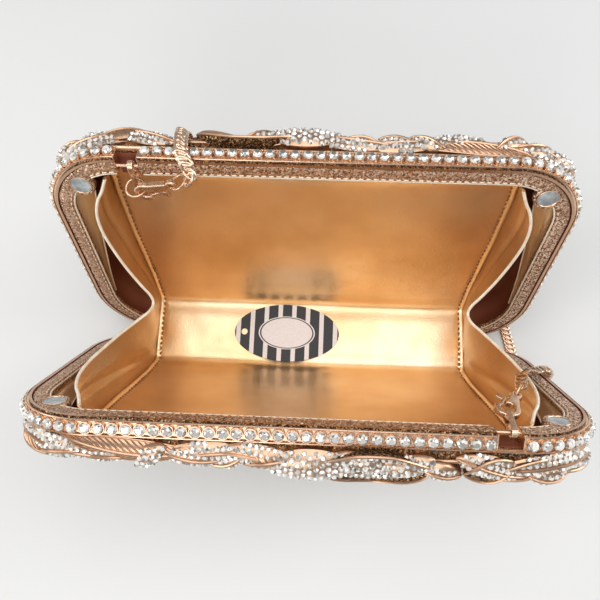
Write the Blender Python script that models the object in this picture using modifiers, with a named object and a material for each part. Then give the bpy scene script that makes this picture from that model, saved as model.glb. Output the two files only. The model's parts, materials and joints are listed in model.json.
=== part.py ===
"""An evening clutch bag: two cast metal half shells on a bottom hinge, standing open.

Each half is modelled in its own frame, x across the bag, y away from the mouth (depth)
and z up the half (height), and hangs on an empty on the hinge axis. The front half is
the rear half turned half a turn about the vertical, apart from its missing ring and
from how its clasp lies.
"""

import math

import bmesh
import bpy
from mathutils import Matrix, Vector

MM = 0.001

# Case
CASE_WIDTH = 200 * MM
CASE_HEIGHT = 115 * MM
SHELL_DEPTH = 17 * MM
TOP_CORNER = 28 * MM
BOTTOM_CORNER = 32 * MM
BACK_EDGE = 9 * MM
WALL = 1.0 * MM
HALF_OPENING = math.radians(22.8)
CORNER_STEPS = 6
BACK_EDGE_STEPS = 6
RIM_GAP = 0.3 * MM
CLEARANCE = 0.3 * MM
OVERRUN = 4 * MM
MERGE_DISTANCE = 0.001 * MM
SOFT_ANGLE = math.radians(40)

# Fabric rim band and its magnets
BAND_WIDTH = 5.8 * MM
BAND_BOTTOM_WIDTH = 4.0 * MM
BAND_DEPTH = 2.7 * MM
MAGNET_RADIUS = 4.0 * MM
MAGNET_DEPTH = 1.4 * MM
MAGNET_MARGIN = 13.2 * MM
TAB_MARGIN = 1.1 * MM
TAB_RECESS = 0.2 * MM

# Rhinestone row in its channel
CHANNEL_LOW = 1.0 * MM
CHANNEL_WIDTH = 5.2 * MM
CHANNEL_BASE = 0.5 * MM
CHANNEL_LIP = 0.6 * MM
STONE_STRIP = 0.4 * MM
STONE_PITCH = 4.5 * MM
STONE_RADIUS = 1.6 * MM
STONE_HEIGHT = 1.1 * MM

# Notch in the top wall and the bar across it
NOTCH_MARGIN = 33.2 * MM
NOTCH_WIDTH = 8.6 * MM
NOTCH_DEPTH = 5.5 * MM
BAR_RADIUS = 0.7 * MM
BAR_DROP = 3.2 * MM
BAR_DEPTH = 1.2 * MM

# Cast leaves
LEAF_SEAT = 0.7 * MM
LEAF_HEIGHT = 2.3 * MM
BACK_LEAF_HEIGHT = 4.1 * MM
WALL_LEAF_STEPS = 6
WALL_SOLE_STEPS = 4
BACK_LEAF_STEPS = 4
BACK_SOLE_STEPS = 1
STEM_LIFT = 0.15 * MM
STEM_HEIGHT = 0.8 * MM
STEM_WIDTH = 1.4 * MM
STEM_STEP = 6 * MM

# Hinges
HINGE_PLACE_SHARE = 0.66
HINGE_LENGTH = 24 * MM
KNUCKLE_RADIUS = 2.2 * MM
PIN_RADIUS = 0.8 * MM
PIN_CLEARANCE = 0.08 * MM
LEAF_PLATE = 0.8 * MM
LEAF_REACH = 8 * MM
RIVET_SPACING = 16 * MM
RIVET_RADIUS = 0.6 * MM
RIVET_HEAD = 1.3 * MM
RIVET_HEAD_HEIGHT = 0.7 * MM

# Lining
PANEL_WIDTH = 146 * MM
LINING = 0.8 * MM
FLOOR_RISE = 6.2 * MM
GUSSET_CREASE_RISE = 46 * MM
GUSSET_TOP_REACH = 41 * MM
GUSSET_TOP_RISE = 97 * MM
GUSSET_FALL_SHARE = 1.35
LABEL_LENGTH = 52 * MM
LABEL_WIDTH = 28.5 * MM
LABEL_CARD = 0.5 * MM
LABEL_CENTRE = -11.4 * MM
LABEL_HOLE = 1.6 * MM

# Ring, link, clasp and jump ring
RING_RADIUS = 3.6 * MM
RING_WIRE = 0.55 * MM
REAR_LINK_SHIFT = 1.3 * MM
FRONT_LINK_SHIFT = -1.7 * MM
LINK_INNER = 1.6 * MM
LINK_STRAP = 0.5 * MM
LINK_WIDTH = 2.0 * MM
LINK_LENGTH = 7.7 * MM
CLASP_HOOK = 4.2 * MM
CLASP_HOLE = 2.6 * MM
REAR_SLACK = 1.1 * MM
FRONT_SLACK = 1.4 * MM
REAR_LINK_TURN = math.radians(9.7)
FRONT_LINK_TURN = math.radians(-22)
HOOK_TURN = math.radians(-25)
CLASP_LENGTH = 11.5 * MM
CLASP_NECK = 1.3 * MM
CLASP_DEPTH = 1.8 * MM
GATE_DROP = 1.0 * MM
GATE_HEIGHT = 1.0 * MM
GATE_START = 0.9 * MM
GATE_END = 7.2 * MM
GATE_PIVOT = 6.2 * MM
GATE_SWEEP = 0.5 * MM
THUMB_HEIGHT = 2.6 * MM
THUMB_WIDTH = 0.9 * MM
THUMB_HEEL = 0.4 * MM
EYE_OUTER = 1.9 * MM
EYE_INNER = 1.05 * MM
JUMP_RADIUS = 3.0 * MM
JUMP_WIRE = 0.45 * MM

# Chain: one free length, from the rear clasp to the front clasp
CHAIN_RADIUS = 0.9 * MM
CHAIN_LEAD = 1.6 * MM
CHAIN_STEP = 5.4 * MM
COIL_TURNS = 4
COIL_POINTS = 24
COIL_RADIUS = 30.1 * MM
COIL_PITCH = 5.2 * MM
COIL_LAYER = 2.3 * MM
COIL_X = -5 * MM
COIL_Y = 64 * MM
COIL_Z = 1.65 * MM
TIE_WIDTH = 4 * MM
TIE_STRAP = 0.4 * MM
TIE_MARGIN = 1.8 * MM

UP = Vector((0, 0, 1))
SINE = math.sin(HALF_OPENING)
COSINE = math.cos(HALF_OPENING)
BAND_OUTSET = WALL + CLEARANCE
BAND_INSET = BAND_OUTSET + BAND_WIDTH
BAND_BACK = RIM_GAP + BAND_DEPTH
PLATE_LOW = WALL + CLEARANCE
LINK_OUTER = LINK_INNER + LINK_STRAP
MAGNET_ACROSS = CASE_WIDTH / 2 - MAGNET_MARGIN
MAGNET_HEIGHT = CASE_HEIGHT - MAGNET_MARGIN
NOTCH_CENTRE = NOTCH_MARGIN - CASE_WIDTH / 2
BAR_HEIGHT = CASE_HEIGHT - BAR_DROP
HINGE_CENTRE = HINGE_PLACE_SHARE * (CASE_WIDTH / 2 - BOTTOM_CORNER)
GATE_HIGH = CLASP_HOOK - GATE_DROP
GATE_LOW = GATE_HIGH - GATE_HEIGHT


def lowest_facet():
    """The height of the hinge axis that sets the lower back edges of both halves on the floor."""
    heights = []
    for step in range(BACK_EDGE_STEPS + 1):
        turn = math.pi / 2 * step / BACK_EDGE_STEPS
        height = BACK_EDGE * (1 - math.cos(turn))
        depth = SHELL_DEPTH - BACK_EDGE * (1 - math.sin(turn))
        heights.append(height * COSINE - depth * SINE)
    return -min(heights)


HINGE_HEIGHT = lowest_facet()


def empty_scene():
    for thing in list(bpy.data.objects):
        bpy.data.objects.remove(thing, do_unlink=True)


def new_collection(name):
    collection = bpy.data.collections.new(name)
    bpy.context.scene.collection.children.link(collection)
    return collection


empty_scene()
PARTS = new_collection("crystal_leaf_clutch")
CUTTERS = new_collection("cutters")
CUTTERS.hide_render = True


def new_frame(name, turn):
    """An empty on the hinge axis, tilted by half the opening, that carries one half of the bag."""
    frame = bpy.data.objects.new(name, None)
    PARTS.objects.link(frame)
    frame.location = (0, 0, HINGE_HEIGHT)
    frame.rotation_euler = (-HALF_OPENING, 0, turn)
    return frame


FRAMES = {"rear": new_frame("rear_frame", 0), "front": new_frame("front_frame", math.pi)}

FINISHES = {
    "rose_gold": ((0.80, 0.53, 0.36), 1.0, 0.25),
    "dark_shell": ((0.26, 0.15, 0.08), 0.6, 0.45),
    "glitter_fabric": ((0.45, 0.27, 0.19), 0.4, 0.6),
    "gold_leather": ((0.72, 0.40, 0.17), 0.5, 0.4),
    "crystal": ((0.92, 0.90, 0.88), 0.0, 0.05),
    "magnet_steel": ((0.45, 0.49, 0.50), 1.0, 0.35),
    "card": ((0.75, 0.72, 0.72), 0.0, 0.5),
}


def new_material(name, finish):
    colour, metallic, roughness = FINISHES[finish]
    material = bpy.data.materials.new(name)
    material.use_nodes = True
    shader = material.node_tree.nodes["Principled BSDF"]
    shader.inputs["Base Color"].default_value = (*colour, 1)
    shader.inputs["Metallic"].default_value = metallic
    shader.inputs["Roughness"].default_value = roughness
    return material


def new_object(name, mesh, finish, frame=None):
    thing = bpy.data.objects.new(name, mesh)
    PARTS.objects.link(thing)
    thing.parent = frame
    mesh.materials.clear()
    mesh.materials.append(new_material(name, finish))
    return thing


def new_cutter(name, mesh, frame=None):
    thing = bpy.data.objects.new(name, mesh)
    CUTTERS.objects.link(thing)
    thing.parent = frame
    thing.hide_render = True
    thing.display_type = "WIRE"
    return thing


def cut(thing, cutter, operation="DIFFERENCE"):
    modifier = thing.modifiers.new(cutter.name, "BOOLEAN")
    modifier.operation = operation
    modifier.solver = "EXACT"
    modifier.object = cutter


def to_mesh(name, bm, smooth=None):
    bmesh.ops.recalc_face_normals(bm, faces=bm.faces[:])
    mesh = bpy.data.meshes.new(name)
    bm.to_mesh(mesh)
    bm.free()
    if smooth is not None:
        mesh.shade_smooth()
        mesh.set_sharp_from_angle(angle=smooth)
    return mesh


def add_box(bm, low, high):
    centre = (Vector(low) + Vector(high)) / 2
    size = Vector(high) - Vector(low)
    place = Matrix.Translation(centre) @ Matrix.Diagonal((*size, 1))
    bmesh.ops.create_cube(bm, size=1, matrix=place)


def box_mesh(name, *boxes):
    bm = bmesh.new()
    for low, high in boxes:
        add_box(bm, low, high)
    return to_mesh(name, bm)


def add_rod(bm, start, end, radius, steps=12, end_radius=None):
    """A cylinder, or a cone if end_radius is given, from one point to another."""
    start, end = Vector(start), Vector(end)
    along = end - start
    place = Matrix.Translation((start + end) / 2) @ along.to_track_quat("Z", "Y").to_matrix().to_4x4()
    bmesh.ops.create_cone(
        bm,
        cap_ends=True,
        segments=steps,
        radius1=radius,
        radius2=radius if end_radius is None else end_radius,
        depth=along.length,
        matrix=place,
    )


def rod_mesh(name, start, end, radius, steps=12):
    bm = bmesh.new()
    add_rod(bm, start, end, radius, steps)
    return to_mesh(name, bm, SOFT_ANGLE)


def skin(bm, rings, closed=True, looped=False):
    """Faces between neighbouring rings of points, with the end rings capped unless looped."""
    rows = [[bm.verts.new(point) for point in ring] for ring in rings]
    count = len(rows[0])
    for one, two in zip(rows, rows[1:] + (rows[:1] if looped else [])):
        for i in range(count if closed else count - 1):
            j = (i + 1) % count
            bm.faces.new((one[i], one[j], two[j], two[i]))
    if closed and not looped:
        bm.faces.new(rows[0])
        bm.faces.new(rows[-1])


def torus_mesh(name, radius, wire, place, steps=20, sides=6):
    rings = []
    for i in range(steps):
        turn = 2 * math.pi * i / steps
        out = Vector((math.cos(turn), math.sin(turn), 0))
        ring = []
        for j in range(sides):
            roll = 2 * math.pi * j / sides
            ring.append(place @ (out * (radius + wire * math.cos(roll)) + UP * wire * math.sin(roll)))
        rings.append(ring)
    bm = bmesh.new()
    skin(bm, rings, looped=True)
    return to_mesh(name, bm, SOFT_ANGLE)


def flat_mesh(name, loops, low, high, place=None):
    """A filled outline, its first loop the outside and the rest holes, from low to high along z."""
    curve = bpy.data.curves.new(name, "CURVE")
    curve.dimensions = "2D"
    curve.fill_mode = "BOTH"
    curve.extrude = (high - low) / 2
    for loop in loops:
        spline = curve.splines.new("POLY")
        spline.points.add(len(loop) - 1)
        spline.use_cyclic_u = True
        for point, (x, y) in zip(spline.points, loop):
            point.co = (x, y, 0, 1)
    holder = bpy.data.objects.new(name, curve)
    bpy.context.scene.collection.objects.link(holder)
    evaluated = holder.evaluated_get(bpy.context.evaluated_depsgraph_get())
    raw = bpy.data.meshes.new_from_object(evaluated)
    bpy.data.objects.remove(holder)
    bm = bmesh.new()
    bm.from_mesh(raw)
    bpy.data.meshes.remove(raw)
    bmesh.ops.remove_doubles(bm, verts=bm.verts[:], dist=MERGE_DISTANCE)
    raise_by = Matrix.Translation((0, 0, (high + low) / 2))
    bmesh.ops.transform(bm, matrix=(place or Matrix()) @ raise_by, verts=bm.verts[:])
    return to_mesh(name, bm, SOFT_ANGLE)


def arc(x, y, radius, start, end, steps):
    """Points on a circle, from one angle in degrees to another, both ends included."""
    points = []
    for i in range(steps + 1):
        turn = math.radians(start + (end - start) * i / steps)
        points.append((x + radius * math.cos(turn), y + radius * math.sin(turn)))
    return points


def case_outline(inset, bottom=None):
    """The rim's outline as (x, z), drawn in by inset, and by bottom at the hinge side."""
    bottom = inset if bottom is None else bottom
    top, low = TOP_CORNER - inset, BOTTOM_CORNER - inset
    right = CASE_WIDTH / 2 - inset
    roof = CASE_HEIGHT - inset
    points = arc(right - low, bottom + low, low, 270, 360, CORNER_STEPS)
    points += arc(right - top, roof - top, top, 0, 90, CORNER_STEPS)
    points += arc(top - right, roof - top, top, 90, 180, CORNER_STEPS)
    points += arc(low - right, bottom + low, low, 180, 270, CORNER_STEPS)
    return points


# Turns a flat outline drawn in x and y into one in x and z, with its thickness along -y
UPRIGHT = Matrix.Rotation(math.pi / 2, 4, "X")


def notch_box(low_height):
    """The space of the top wall's notch, down to a height."""
    low = (NOTCH_CENTRE - NOTCH_WIDTH / 2, -OVERRUN, low_height)
    high = (NOTCH_CENTRE + NOTCH_WIDTH / 2, NOTCH_DEPTH, CASE_HEIGHT + OVERRUN)
    return low, high


def hinge_boxes(depth, height):
    """The spaces that the two hinges need in a half, from below it up to a height."""
    boxes = []
    for centre in (-HINGE_CENTRE, HINGE_CENTRE):
        half = HINGE_LENGTH / 2 + 2 * CLEARANCE
        boxes.append(((centre - half, -OVERRUN, -OVERRUN), (centre + half, depth, height)))
    return boxes


def make_shell(side):
    """The half shell: its back and walls as an open skin, rounded at the back and given its wall."""
    frame = FRAMES[side]
    bm = bmesh.new()
    back = bm.faces.new([bm.verts.new((x, SHELL_DEPTH, z)) for x, z in case_outline(0)])
    edges = list(back.edges)
    grown = bmesh.ops.extrude_edge_only(bm, edges=edges)["geom"]
    rim = [part for part in grown if isinstance(part, bmesh.types.BMVert)]
    bmesh.ops.translate(bm, vec=(0, RIM_GAP - SHELL_DEPTH, 0), verts=rim)
    bmesh.ops.bevel(
        bm,
        geom=edges,
        offset=BACK_EDGE,
        segments=BACK_EDGE_STEPS,
        profile=0.5,
        affect="EDGES",
        clamp_overlap=False,
    )
    shell = new_object(f"{side}_shell", to_mesh(f"{side}_shell", bm, SOFT_ANGLE), "dark_shell", frame)
    wall = shell.modifiers.new("wall", "SOLIDIFY")
    wall.thickness = WALL
    wall.offset = -1
    wall.use_even_offset = True
    low = CASE_HEIGHT - WALL - OVERRUN
    cut(shell, new_cutter(f"{side}_shell_notch", box_mesh("notch", notch_box(low)), frame))
    knuckle_room = KNUCKLE_RADIUS + CLEARANCE
    hinge_room = box_mesh("hinge_room", *hinge_boxes(knuckle_room, WALL + OVERRUN))
    cut(shell, new_cutter(f"{side}_shell_hinges", hinge_room, frame))


def make_rim_band(side):
    """The glitter fabric band of the rim, with a tab round each magnet."""
    frame = FRAMES[side]
    name = f"{side}_rim_band"
    loops = [case_outline(BAND_OUTSET), case_outline(BAND_INSET, BAND_OUTSET + BAND_BOTTOM_WIDTH)]
    band = new_object(name, flat_mesh(name, loops, -BAND_BACK, -RIM_GAP, UPRIGHT), "glitter_fabric", frame)
    for across in (-MAGNET_ACROSS, MAGNET_ACROSS):
        which = "left" if across < 0 else "right"
        front, back = RIM_GAP + TAB_RECESS, BAND_BACK - TAB_RECESS
        radius = MAGNET_RADIUS + CLEARANCE + TAB_MARGIN
        tab = rod_mesh("tab", (across, front, MAGNET_HEIGHT), (across, back, MAGNET_HEIGHT), radius, 20)
        cut(band, new_cutter(f"{name}_tab_{which}", tab, frame), "UNION")
        floor = RIM_GAP + TAB_RECESS + MAGNET_DEPTH + CLEARANCE
        pocket_radius = MAGNET_RADIUS + CLEARANCE
        pocket = rod_mesh(
            "pocket", (across, -OVERRUN, MAGNET_HEIGHT), (across, floor, MAGNET_HEIGHT), pocket_radius, 16
        )
        cut(band, new_cutter(f"{name}_pocket_{which}", pocket, frame))
    low = CASE_HEIGHT - BAND_INSET - OVERRUN
    cut(band, new_cutter(f"{name}_notch", box_mesh("notch", notch_box(low)), frame))
    leaf_top = PLATE_LOW + LEAF_PLATE + CLEARANCE
    above = max(leaf_top, KNUCKLE_RADIUS + CLEARANCE)
    room = box_mesh("hinge_room", *hinge_boxes(BAND_BACK + OVERRUN, above))
    cut(band, new_cutter(f"{name}_hinges", room, frame))


def make_magnets(side):
    front = RIM_GAP + TAB_RECESS
    for which, across in (("left", -MAGNET_ACROSS), ("right", MAGNET_ACROSS)):
        start = (across, front, MAGNET_HEIGHT)
        end = (across, front + MAGNET_DEPTH, MAGNET_HEIGHT)
        name = f"{side}_magnet_{which}"
        new_object(name, rod_mesh(name, start, end, MAGNET_RADIUS, 16), "magnet_steel", FRAMES[side])


def rim_path(outset):
    """The stone row's way as (x, z), from the lower right corner over the top to the lower left one."""
    points = case_outline(-outset)
    skipped = CORNER_STEPS // 2
    return points[skipped : len(points) - skipped]


def make_stone_channel(side):
    """The raised channel that holds the stones, laid round the outside of the wall."""
    base = CLEARANCE + CHANNEL_BASE
    lip = base + CHANNEL_LIP
    low, high = CHANNEL_LOW, CHANNEL_LOW + CHANNEL_WIDTH
    section = [
        (CLEARANCE, low),
        (lip, low),
        (lip, low + CHANNEL_LIP),
        (base, low + CHANNEL_LIP),
        (base, high - CHANNEL_LIP),
        (lip, high - CHANNEL_LIP),
        (lip, high),
        (CLEARANCE, high),
    ]
    columns = [[(x, depth, z) for x, z in rim_path(outset)] for outset, depth in section]
    bm = bmesh.new()
    skin(bm, [list(ring) for ring in zip(*columns)])
    name = f"{side}_stone_channel"
    channel = new_object(name, to_mesh(name, bm), "rose_gold", FRAMES[side])
    box = notch_box(CASE_HEIGHT - OVERRUN)
    cut(channel, new_cutter(f"{name}_notch", box_mesh("notch", box), FRAMES[side]))


def along_line(points, length):
    """The place at a length along a line of points."""
    for one, two in zip(points, points[1:]):
        if length <= (two - one).length:
            break
        length -= (two - one).length
    return one + (two - one).normalized() * length


def stone_places(outset):
    """Evenly pitched places along the rim path with the way out of the wall, none over the notch."""
    points = [Vector(point) for point in rim_path(outset)]
    total = sum((two - one).length for one, two in zip(points, points[1:]))
    count = int(total / STONE_PITCH)
    start = (total - (count - 1) * STONE_PITCH) / 2
    places = []
    for i in range(count):
        length = start + i * STONE_PITCH
        place = along_line(points, length)
        ahead = along_line(points, length + STONE_RADIUS) - along_line(points, length - STONE_RADIUS)
        room = NOTCH_WIDTH / 2 + CLEARANCE + STONE_RADIUS
        if abs(place.x - NOTCH_CENTRE) < room and place.y > CASE_HEIGHT:
            continue
        places.append((place, ahead.normalized()))
    return places


def make_rim_stones(side):
    """The row of stones in two lengths, either side of the notch: faceted cones on a thin strip."""
    frame = FRAMES[side]
    seat = 2 * CLEARANCE + CHANNEL_BASE
    top = seat + STONE_STRIP
    low = CHANNEL_LOW + CHANNEL_LIP + CLEARANCE
    high = CHANNEL_LOW + CHANNEL_WIDTH - CHANNEL_LIP - CLEARANCE
    section = [(seat, low), (top, low), (top, high), (seat, high)]
    columns = [[(x, depth, z) for x, z in rim_path(outset)] for outset, depth in section]
    depth = (low + high) / 2
    stones = bmesh.new()
    for place, along in stone_places(seat + STONE_STRIP / 2):
        base = Vector((place.x, depth, place.y))
        out = Vector((along.y, 0, -along.x))
        add_rod(stones, base, base + out * (STONE_HEIGHT + STONE_STRIP / 2), STONE_RADIUS, 6, 0)
    cones = new_cutter(f"{side}_stones", to_mesh("stones", stones), frame)
    edge = NOTCH_WIDTH / 2 + CLEARANCE
    sides = {
        "left": (NOTCH_CENTRE - edge, CASE_WIDTH),
        "right": (-CASE_WIDTH, NOTCH_CENTRE + edge),
    }
    for which, (start, end) in sides.items():
        bm = bmesh.new()
        skin(bm, [list(ring) for ring in zip(*columns)])
        name = f"{side}_rim_stones_{which}"
        strip = new_object(name, to_mesh(name, bm), "crystal", frame)
        cut(strip, cones, "UNION")
        box = box_mesh("far_side", ((start, -OVERRUN, -OVERRUN), (end, SHELL_DEPTH, 2 * CASE_HEIGHT)))
        cut(strip, new_cutter(f"{name}_end", box, frame))


def on_wall(along, deep, out):
    """A place off the outer wall, by the ways along it from the middle of the top and in from the rim."""
    flat = CASE_WIDTH / 2 - TOP_CORNER
    straight = SHELL_DEPTH - BACK_EDGE
    turn = min(max((abs(along) - flat) / TOP_CORNER, 0), math.pi / 2)
    roll = min(max((deep - straight) / BACK_EDGE, 0), math.pi / 2)
    beyond = max(abs(along) - flat - TOP_CORNER * math.pi / 2, 0)
    radius = TOP_CORNER - BACK_EDGE + (BACK_EDGE + out) * math.cos(roll)
    reach = min(abs(along), flat) + radius * math.sin(turn)
    height = CASE_HEIGHT - TOP_CORNER + radius * math.cos(turn) - beyond
    depth = min(deep, straight) + (BACK_EDGE + out) * math.sin(roll)
    return Vector((math.copysign(reach, along), depth, height))


def on_back(across, height, out):
    """A place off the back of the shell."""
    return Vector((across, SHELL_DEPTH + out, height))


def leaf_mesh(name, seat, centre, length, width, height, turn, bend):
    """A cast leaf with a raised midrib and pointed ends, laid on the surface that seat gives.

    Its underside has enough points across to follow the wall's rounding.
    """
    sole = WALL_SOLE_STEPS if seat is on_wall else BACK_SOLE_STEPS
    steps = WALL_LEAF_STEPS if seat is on_wall else BACK_LEAF_STEPS
    bm = bmesh.new()
    cosine, sine = math.cos(math.radians(turn)), math.sin(math.radians(turn))

    def place(u, v, out):
        across = centre[0] + u * cosine - v * sine
        return bm.verts.new(seat(across, centre[1] + u * sine + v * cosine, LEAF_SEAT + out))

    tips = []
    rows = []
    for step in range(steps + 1):
        share = step / steps
        swell = math.sin(math.pi * share) ** 0.7
        u, v = (share - 0.5) * length, bend * length * (1 - swell)
        if step in (0, steps):
            tips.append(place(u, v, 0))
            continue
        half = width / 2 * swell
        top = height * (0.45 + 0.55 * swell)
        section = [(2 * i / sole - 1, 0) for i in range(sole + 1)]
        section += [(0.5, 0.7), (0, 1), (-0.5, 0.7)]
        rows.append([place(u, v + half * out, top * up) for out, up in section])
    for one, two in zip(rows, rows[1:]):
        for i in range(len(one)):
            j = (i + 1) % len(one)
            bm.faces.new((one[i], one[j], two[j], two[i]))
    for tip, row in zip(tips, (rows[0], rows[-1])):
        for i in range(len(row)):
            bm.faces.new((tip, row[i], row[(i + 1) % len(row)]))
    bmesh.ops.triangulate(bm, faces=bm.faces[:])
    return to_mesh(name, bm, SOFT_ANGLE)


def stem_mesh(name, seat, start, end):
    """The thin cast stem that joins leaves, laid on the surface that seat gives."""
    start, end = Vector(start), Vector(end)
    along = (end - start).normalized() * STEM_WIDTH / 2
    side = Vector((-along.y, along.x))
    count = max(1, round((end - start).length / STEM_STEP))
    rings = []
    for i in range(count + 1):
        middle = start.lerp(end, i / count)
        low, high = LEAF_SEAT + STEM_LIFT, LEAF_SEAT + STEM_LIFT + STEM_HEIGHT
        corners = [(-1, low), (1, low), (1, high), (-1, high)]
        rings.append([seat(*(middle + side * way), out) for way, out in corners])
    bm = bmesh.new()
    skin(bm, rings)
    return to_mesh(name, bm)


# Leaves on the top wall: way along it, way in, length, width, rise, turn in degrees, bend
TOP_LEAF_SHARES = [
    (-0.820, 0.62, 0.260, 0.46, 0.9, 4, 0.05),
    (-0.620, 0.70, 0.130, 0.50, 1.2, -14, 0.0),
    (-0.235, 0.86, 0.195, 0.85, 2.6, 0, -0.06),
    (-0.030, 0.80, 0.150, 0.75, 2.2, 0, 0.0),
    (0.130, 0.64, 0.170, 0.46, 1.2, -10, 0.06),
    (0.330, 0.62, 0.190, 0.42, 1.0, 6, 0.04),
    (0.560, 0.64, 0.220, 0.50, 1.1, -5, -0.05),
    (0.830, 0.62, 0.250, 0.44, 0.9, -8, 0.04),
]
TOP_STEM_SHARES = [((-0.82, 0.62), (0.83, 0.62))]

# Leaves on the back: place across and in height, length, width, rise, turn in degrees, bend
BACK_LEAF_SHARES = [
    (-0.70, 0.78, 0.26, 0.13, 1.0, 35, 0.08),
    (-0.40, 0.81, 0.25, 0.14, 1.0, -20, -0.06),
    (-0.06, 0.80, 0.27, 0.15, 1.0, 15, 0.07),
    (0.28, 0.81, 0.26, 0.14, 1.0, -25, 0.06),
    (0.62, 0.80, 0.24, 0.13, 1.0, 20, -0.07),
    (-0.76, 0.46, 0.22, 0.13, 1.0, -50, 0.06),
    (-0.45, 0.50, 0.23, 0.15, 1.0, 40, 0.08),
    (-0.14, 0.50, 0.23, 0.15, 1.0, -35, -0.06),
    (0.18, 0.49, 0.24, 0.14, 1.0, 45, 0.06),
    (0.50, 0.50, 0.24, 0.15, 1.0, -40, 0.07),
    (0.80, 0.50, 0.22, 0.13, 1.0, 55, -0.06),
    (-0.54, 0.20, 0.26, 0.13, 1.0, 12, 0.06),
    (-0.20, 0.20, 0.27, 0.14, 1.0, -12, -0.07),
    (0.16, 0.20, 0.27, 0.14, 1.0, 14, 0.06),
    (0.52, 0.20, 0.26, 0.13, 1.0, -14, 0.06),
]
BACK_STEM_SHARES = [
    ((-0.70, 0.79), (0.62, 0.81)),
    ((-0.76, 0.475), (0.80, 0.485)),
    ((-0.54, 0.205), (0.52, 0.195)),
    ((0.03, 0.81), (0.02, 0.20)),
]


def make_relief(name, side, seat, reach, leaves, leaf_height, stems):
    """A spray of cast leaves joined by their stems into one piece."""
    frame = FRAMES[side]
    relief = None
    for i, (start, end) in enumerate(stems):
        ends = [Vector((share[0] * CASE_WIDTH / 2, share[1] * reach)) for share in (start, end)]
        mesh = stem_mesh(name, seat, *ends)
        if relief is None:
            relief = new_object(name, mesh, "rose_gold", frame)
        else:
            cut(relief, new_cutter(f"{name}_stem_{i}", mesh, frame), "UNION")
    for i, (across, up, length, width, rise, turn, bend) in enumerate(leaves):
        centre = (across * CASE_WIDTH / 2, up * reach)
        size = (length * CASE_WIDTH, width * reach, rise * leaf_height)
        mesh = leaf_mesh(f"{name}_leaf", seat, centre, *size, turn, bend)
        cut(relief, new_cutter(f"{name}_leaf_{i}", mesh, frame), "UNION")


def make_leaf_relief(side):
    make_relief(
        f"{side}_top_leaves", side, on_wall, SHELL_DEPTH, TOP_LEAF_SHARES, LEAF_HEIGHT, TOP_STEM_SHARES
    )
    make_relief(
        f"{side}_back_leaves",
        side,
        on_back,
        CASE_HEIGHT,
        BACK_LEAF_SHARES,
        BACK_LEAF_HEIGHT,
        BACK_STEM_SHARES,
    )


# The lining panel's face in section: height and depth as shares of the case
PANEL_SHARES = [
    (0.944, 0.200),
    (0.922, 0.370),
    (0.861, 0.630),
    (0.765, 0.765),
    (0.522, 0.820),
    (0.261, 0.820),
    (0.106, 0.720),
]


def panel_points():
    """The face of a half's lining panel as (height, depth), from the rim down to the floor."""
    return [(up * CASE_HEIGHT, deep * SHELL_DEPTH) for up, deep in PANEL_SHARES]


def make_lining_panel(side):
    """The stiff leather-covered panel that lines the back of a half."""
    bm = bmesh.new()
    rows = []
    for across in (-PANEL_WIDTH / 2, PANEL_WIDTH / 2):
        face = [Vector((across, depth, height)) for height, depth in panel_points()]
        rear = [point + Vector((0, LINING, 0)) for point in face]
        rows.append(face + rear[::-1])
    skin(bm, rows)
    name = f"{side}_lining_panel"
    panel = new_object(name, to_mesh(name, bm, SOFT_ANGLE), "gold_leather", FRAMES[side])
    top = panel_points()[0][0]
    low = (NOTCH_CENTRE - NOTCH_WIDTH / 2, -OVERRUN, top - OVERRUN)
    high = (NOTCH_CENTRE + NOTCH_WIDTH / 2, SHELL_DEPTH, top + OVERRUN)
    cut(panel, new_cutter(f"{name}_notch", box_mesh("notch", (low, high)), FRAMES[side]))


def to_world(side, across, height, depth):
    """A place in a half's own frame as a world place."""
    sign = 1 if side == "rear" else -1
    y = sign * (height * SINE + depth * COSINE)
    return Vector((sign * across, y, HINGE_HEIGHT + height * COSINE - depth * SINE))


def floor_half_width():
    height, depth = panel_points()[-1]
    return height * SINE + depth * COSINE - CLEARANCE


FLOOR_TOP = HINGE_HEIGHT + FLOOR_RISE


def make_lining_floor():
    half = floor_half_width()
    low = (-PANEL_WIDTH / 2, -half, FLOOR_TOP - LINING)
    high = (PANEL_WIDTH / 2, half, FLOOR_TOP)
    new_object("lining_floor", box_mesh("lining_floor", (low, high)), "gold_leather")


# The gusset's free edge from the rear rim to the crease: reach from the middle plane as a
# share of the reach at the rim, and distance across as a share of half the panel's width
GUSSET_EDGE_SHARES = [
    (1.000, 1.027),
    (0.927, 1.068),
    (0.854, 1.123),
    (0.756, 1.154),
    (0.634, 1.150),
    (0.488, 1.116),
    (0.341, 1.068),
    (0.195, 1.007),
    (0.085, 0.955),
    (0.000, 0.941),
]

# Where the seam lies for each of those places: along the panel's face, then across the floor
SEAM_PANEL_SHARES = [(0.922, 0.370), (0.861, 0.630), (0.765, 0.765), (0.643, 0.793)]
SEAM_PANEL_SHARES += [(0.522, 0.820), (0.383, 0.820), (0.261, 0.820), (0.106, 0.720)]
SEAM_FLOOR_SHARES = [0.5, 0.0]


def gusset_rows():
    """Pairs of places, seam and free edge, of the gusset at +x, from the rear rim to the crease."""
    seams = []
    across = PANEL_WIDTH / 2 + CLEARANCE + LINING
    for up, deep in SEAM_PANEL_SHARES:
        seams.append(to_world("rear", across, up * CASE_HEIGHT, deep * SHELL_DEPTH))
    for share in SEAM_FLOOR_SHARES:
        seams.append(Vector((across, share * floor_half_width(), FLOOR_TOP + LINING)))
    edges = []
    for reach, out in GUSSET_EDGE_SHARES:
        rise = GUSSET_CREASE_RISE + (GUSSET_TOP_RISE - GUSSET_CREASE_RISE) * reach**GUSSET_FALL_SHARE
        edges.append(Vector((out * PANEL_WIDTH / 2, reach * GUSSET_TOP_REACH, HINGE_HEIGHT + rise)))
    return list(zip(seams, edges))


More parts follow.
